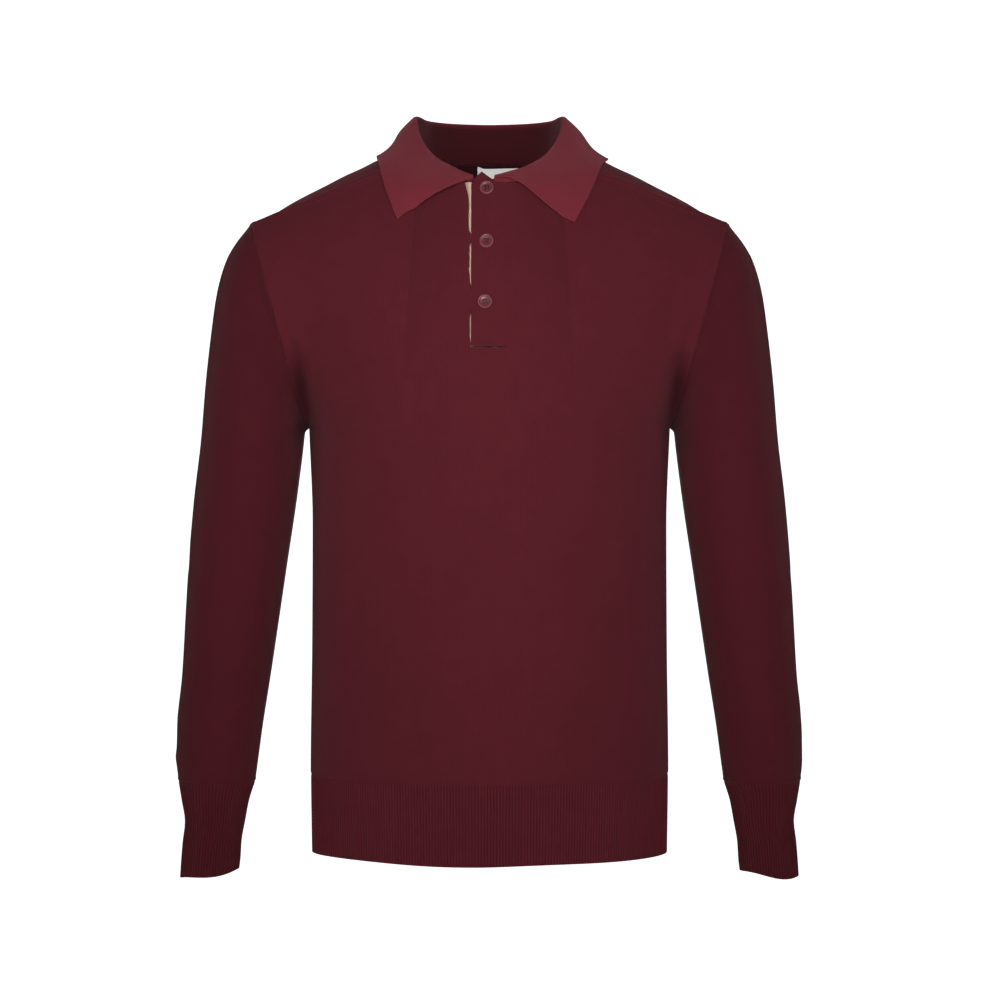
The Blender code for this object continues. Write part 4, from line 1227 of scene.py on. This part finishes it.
# %% Turn and drill the buttons
BUTTON_OUTLINE = ((0.0, 0.0), (5.1, 0.0), (6.0, 0.25), (6.55, 0.8), (6.7, 1.4), (6.55, 1.95),
                  (6.25, 2.4), (5.9, 2.6), (5.5, 2.52), (5.1, 2.15), (4.7, 1.8), (4.2, 1.66),
                  (2.0, 1.6), (0.0, 1.6))
RIM_START = 5.4
HOLE_RADIUS, HOLE_OFFSET = 1.1, 2.0


def button_axes(x, z):
    """A button's seat, and its across, upward and outward directions."""
    centre, out = front_frame(x, z)
    centre = centre + out * (OVERLAP_LIFT + 0.35)
    across = np.cross((0.0, 0.0, 1.0), out)
    across /= np.linalg.norm(across)
    return Matrix.Translation(Vector(centre)) @ Matrix(
        np.stack([across, np.cross(out, across), out], -1)).to_4x4()


def turned(outline, sides):
    mesh = bmesh.new()
    line = [mesh.verts.new((radius, 0, height)) for radius, height in outline]
    edges = [mesh.edges.new(pair) for pair in zip(line, line[1:])]
    bmesh.ops.spin(mesh, geom=line + edges, cent=(0, 0, 0), axis=(0, 0, 1), angle=math.tau,
                   steps=sides, use_merge=True)
    bmesh.ops.remove_doubles(mesh, verts=mesh.verts[:], dist=1e-4)
    bmesh.ops.recalc_face_normals(mesh, faces=mesh.faces[:])
    return mesh


def drilled(piece, drills):
    """Cuts the drills out of a piece for good, and removes them."""
    for drill in drills:
        cut = piece.modifiers.new(drill.name, "BOOLEAN")
        cut.operation, cut.object, cut.solver = "DIFFERENCE", drill, "EXACT"
    shaped = bpy.data.meshes.new_from_object(
        piece.evaluated_get(bpy.context.evaluated_depsgraph_get()))
    piece.modifiers.clear()
    piece.data = shaped
    for drill in drills:
        bpy.data.objects.remove(drill)
    shaped.shade_smooth()
    shaped.set_sharp_from_angle(angle=math.radians(35))
    return piece


def settle(mesh, seat):
    bmesh.ops.transform(mesh, matrix=Matrix.Diagonal((MM, MM, MM, 1)) @ seat, verts=mesh.verts[:])
    return mesh


buttons, sewing = [], bmesh.new()
for count, (x, z) in enumerate(BUTTON_PLACES, 1):
    seat = button_axes(x, z) @ Matrix.Rotation(math.radians((4, -7, 11)[count - 1]), 4, "Z")
    disc = finish_piece(f"button_disc_{count}", settle(turned(BUTTON_OUTLINE, 56), seat),
                        button_plastic)
    drills = []
    for turn in range(4):
        angle = math.tau * (turn + 0.5) / 4
        offset = Matrix.Translation((HOLE_OFFSET * math.cos(angle),
                                     HOLE_OFFSET * math.sin(angle), 1))
        hole = bmesh.new()
        bmesh.ops.create_cone(hole, cap_ends=True, segments=20, radius1=HOLE_RADIUS,
                              radius2=HOLE_RADIUS, depth=9, matrix=offset)
        drills.append(finish_piece(f"drill_{count}_{turn}", settle(hole, seat), button_plastic))
        plug = bmesh.ops.create_cone(sewing, cap_ends=True, segments=14, radius1=0.8, radius2=0.6,
                                     depth=1.3, matrix=offset @ Matrix.Translation((0, 0, -0.45)))
        bmesh.ops.transform(sewing, matrix=Matrix.Diagonal((MM, MM, MM, 1)) @ seat,
                            verts=plug["verts"])
    disc = drilled(disc, drills)
    disc.data.materials.append(rim_plastic)
    to_button = seat.inverted()
    for face in disc.data.polygons:
        middle = to_button @ (face.center * 1000)
        face.material_index = int(math.hypot(middle.x, middle.y) > RIM_START and middle.z > 0.5)
    buttons.append(disc)
sewing_piece = finish_piece("button_threads", sewing, dark_thread)

# %% [markdown]
# ## The label
# A small woven label is sewn inside the back of the neck by its top edge, and its left
# end curls forward. It is left bare.

# %% The label
LABEL_WIDTH, LABEL_HEIGHT, LABEL_MIDDLE_X, LABEL_TOP_Z = 43.0, 24.0, 7.4, 2.4
back_points = BACK_FORM[0]
grid = []
for v in np.linspace(0, 1, 20):
    z = LABEL_TOP_Z - LABEL_HEIGHT * (1 - v)
    row = []
    for u in evenly_crowded(-0.5, 0.5, 44):
        x = LABEL_MIDDLE_X + LABEL_WIDTH * u
        away = (back_points[:, 0] - x) ** 2 + (back_points[:, 2] - z) ** 2
        near = np.argsort(away)[:8]
        y = back_points[near, 1].mean() - CLOTH - 2.6
        curl = ease((-0.28 - u) / 0.22) * (0.7 + 0.3 * (1 - v))
        row.append((x + 2.2 * curl, y - 6.0 * curl - 0.5 * math.sin(5 * u + 1) * (1 - v),
                    z + 2.6 * curl - 1.4 * (0.5 - u) * (v - 0.5)))
    grid.append(row)
grid = relax(np.array(grid), 6)
normal = grid_normals(grid, False)
label_piece = cloth_mesh("label_ribbon", grid, grid - normal * 0.5, cloth_uv(grid, 22),
                         label_satin)

# %% [markdown]
# ## Ties to the solids
# Every piece is tied to the body it rides on and takes the place of the solid it stands for.
# The table also lists the slot of its finish and, for cloth, the flat size that it was cut or
# knitted to, in metres (for a tube, that is all the way round); nothing here reads these.

# %% Ride and replace
SHEETS = (
    (front_piece, "front", "body_knit", (0.560, 0.660), 0.300, ["back_panel"]),
    (back_piece, "back", "body_knit", (0.580, 0.690), 0.340, ["front_panel"]),
    (sleeve_pieces[0], "sleeve_left", "body_knit", (0.400, 0.570), 0.150, ["front_panel"]),
    (sleeve_pieces[1], "sleeve_right", "body_knit", (0.400, 0.570), 0.150, ["front_panel"]),
    (hem_front, "rib_front", "rib_knit", (0.480, 0.080), None, ["front_panel"]),
    (hem_back, "rib_back", "rib_knit", (0.475, 0.080), None, ["back_panel"]),
    (cuffs[0], "cuff_left", "rib_knit", (0.210, 0.095), None, ["sleeve_left_tube"]),
    (cuffs[1], "cuff_right", "rib_knit", (0.210, 0.095), None, ["sleeve_right_tube"]),
    (collar_piece, "collar", "collar_knit", (0.480, 0.110), 0.045, ["back_panel"]),
    (overlap_piece, "placket_overlap", "body_knit", (0.034, 0.165), None, ["front_panel"]),
    (underlap_piece, "placket_underlap", "underlap_cotton", (0.036, 0.170), None, ["front_panel"]),
    (label_piece, "neck_label", "label_satin", (0.043, 0.024), None, ["back_panel"]),
)
for piece, node, slot, flat, area, hangs_from in SHEETS:
    stands_for(piece, node)
for count, disc in enumerate(buttons, 1):
    stands_for(disc, f"button_{count}")
for piece in (stitches_piece, sewing_piece):
    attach(piece, "root")

# %% [markdown]
# ## The studio
# The garment floats in a white room. A soft light with a narrow beam stands behind the
# camera and is aimed at the chest, so the sleeves and the hem get less of it. A weak wide
# one stands on each side, and there is almost no light from above, which is why the tops
# of the shoulders go dark. Floor and walls look white but are only seen: they give the
# garment no light, so its outlines stay dark against them. A light straight behind shows
# the back of the garment and adds nothing to the front.

# %% Floor, room and lights
floor_mesh = bmesh.new()
bmesh.ops.create_circle(floor_mesh, cap_ends=True, segments=96, radius=1.5,
                        matrix=Matrix.Translation((0, 0, -1.25)))
floor_finish = Finish("pale_floor", 0.9)
floor_finish.feed(Base_Color=floor_finish.mix(floor_finish.noise(3.0), (0.86, 0.86, 0.86),
                                              (0.90, 0.90, 0.90)),
                  Emission_Color=(1.0, 1.0, 1.0, 1.0), Emission_Strength=0.8)
floor = finish_piece("studio_floor", floor_mesh, floor_finish.material)

wall_mesh = bmesh.new()
bmesh.ops.create_uvsphere(wall_mesh, u_segments=48, v_segments=24, radius=7.0)
wall_finish = Finish("white_walls", 1.0)
wall_finish.feed(Emission_Color=(1.0, 1.0, 1.0, 1.0), Emission_Strength=1.0)
walls = finish_piece("studio_walls", wall_mesh, wall_finish.material)
for surface in (floor, walls):
    for sight in ("visible_diffuse", "visible_glossy", "visible_transmission",
                  "visible_shadow"):
        setattr(surface, sight, False)

world = bpy.data.worlds.new("pale_room")
bpy.context.scene.world = world
world.use_nodes = True
nodes, links = world.node_tree.nodes, world.node_tree.links
ways = nodes.new("ShaderNodeTexCoord")
upward = nodes.new("ShaderNodeSeparateXYZ")
glow = nodes.new("ShaderNodeMapRange")
glow.interpolation_type = "SMOOTHSTEP"
for name, value in (("From Min", 0.05), ("From Max", 0.60), ("To Min", 0.22), ("To Max", 0.04)):
    glow.inputs[name].default_value = value
links.new(ways.outputs["Generated"], upward.inputs[0])
links.new(upward.outputs["Z"], glow.inputs["Value"])
links.new(glow.outputs[0], nodes["Background"].inputs["Strength"])
nodes["Background"].inputs["Color"].default_value = (1.0, 1.0, 1.0, 1.0)


def softbox(name, place, target, width, height, power, spread=180):
    light = bpy.data.lights.new(name, "AREA")
    light.shape, light.size, light.size_y, light.energy = "RECTANGLE", width, height, power
    light.spread = math.radians(spread)
    lamp = bpy.data.objects.new(name, light)
    lamp.location = place
    lamp.rotation_euler = (Vector(target) - Vector(place)).to_track_quat("-Z", "Y").to_euler()
    bpy.context.collection.objects.link(lamp)
    return lamp


MIDDLE_Z = -0.35
softbox("key_softbox", (0.0, -3.0, 0.0), (0.0, 0.0, -0.10), 0.4, 0.6, 3.7, spread=45)
for name, x in (("left_softbox", -1.1), ("right_softbox", 1.1)):
    softbox(name, (x, -2.8, MIDDLE_Z), (0.0, 0.0, MIDDLE_Z), 0.6, 1.2, 9)
back_light = softbox("back_softbox", (0.0, 3.0, MIDDLE_Z), (0.0, 0.0, MIDDLE_Z), 1.0, 1.2, 48)
back_light.visible_camera = False

# %% [markdown]
# ## The camera
# The picture was taken from straight in front, level with the middle of the garment,
# from far enough away that a millimetre of cloth is one pixel of a thousand.

# %% Camera
camera = bpy.data.objects.new("camera", bpy.data.cameras.new("camera"))
camera.data.lens, camera.data.sensor_width = 97.2, 36.0
camera.location = (0.0105, -2.7, -0.337)
camera.rotation_euler = (math.pi / 2, 0.0, 0.0)
bpy.context.collection.objects.link(camera)
bpy.context.scene.camera = camera
bpy.context.scene.view_settings.view_transform = "Standard"
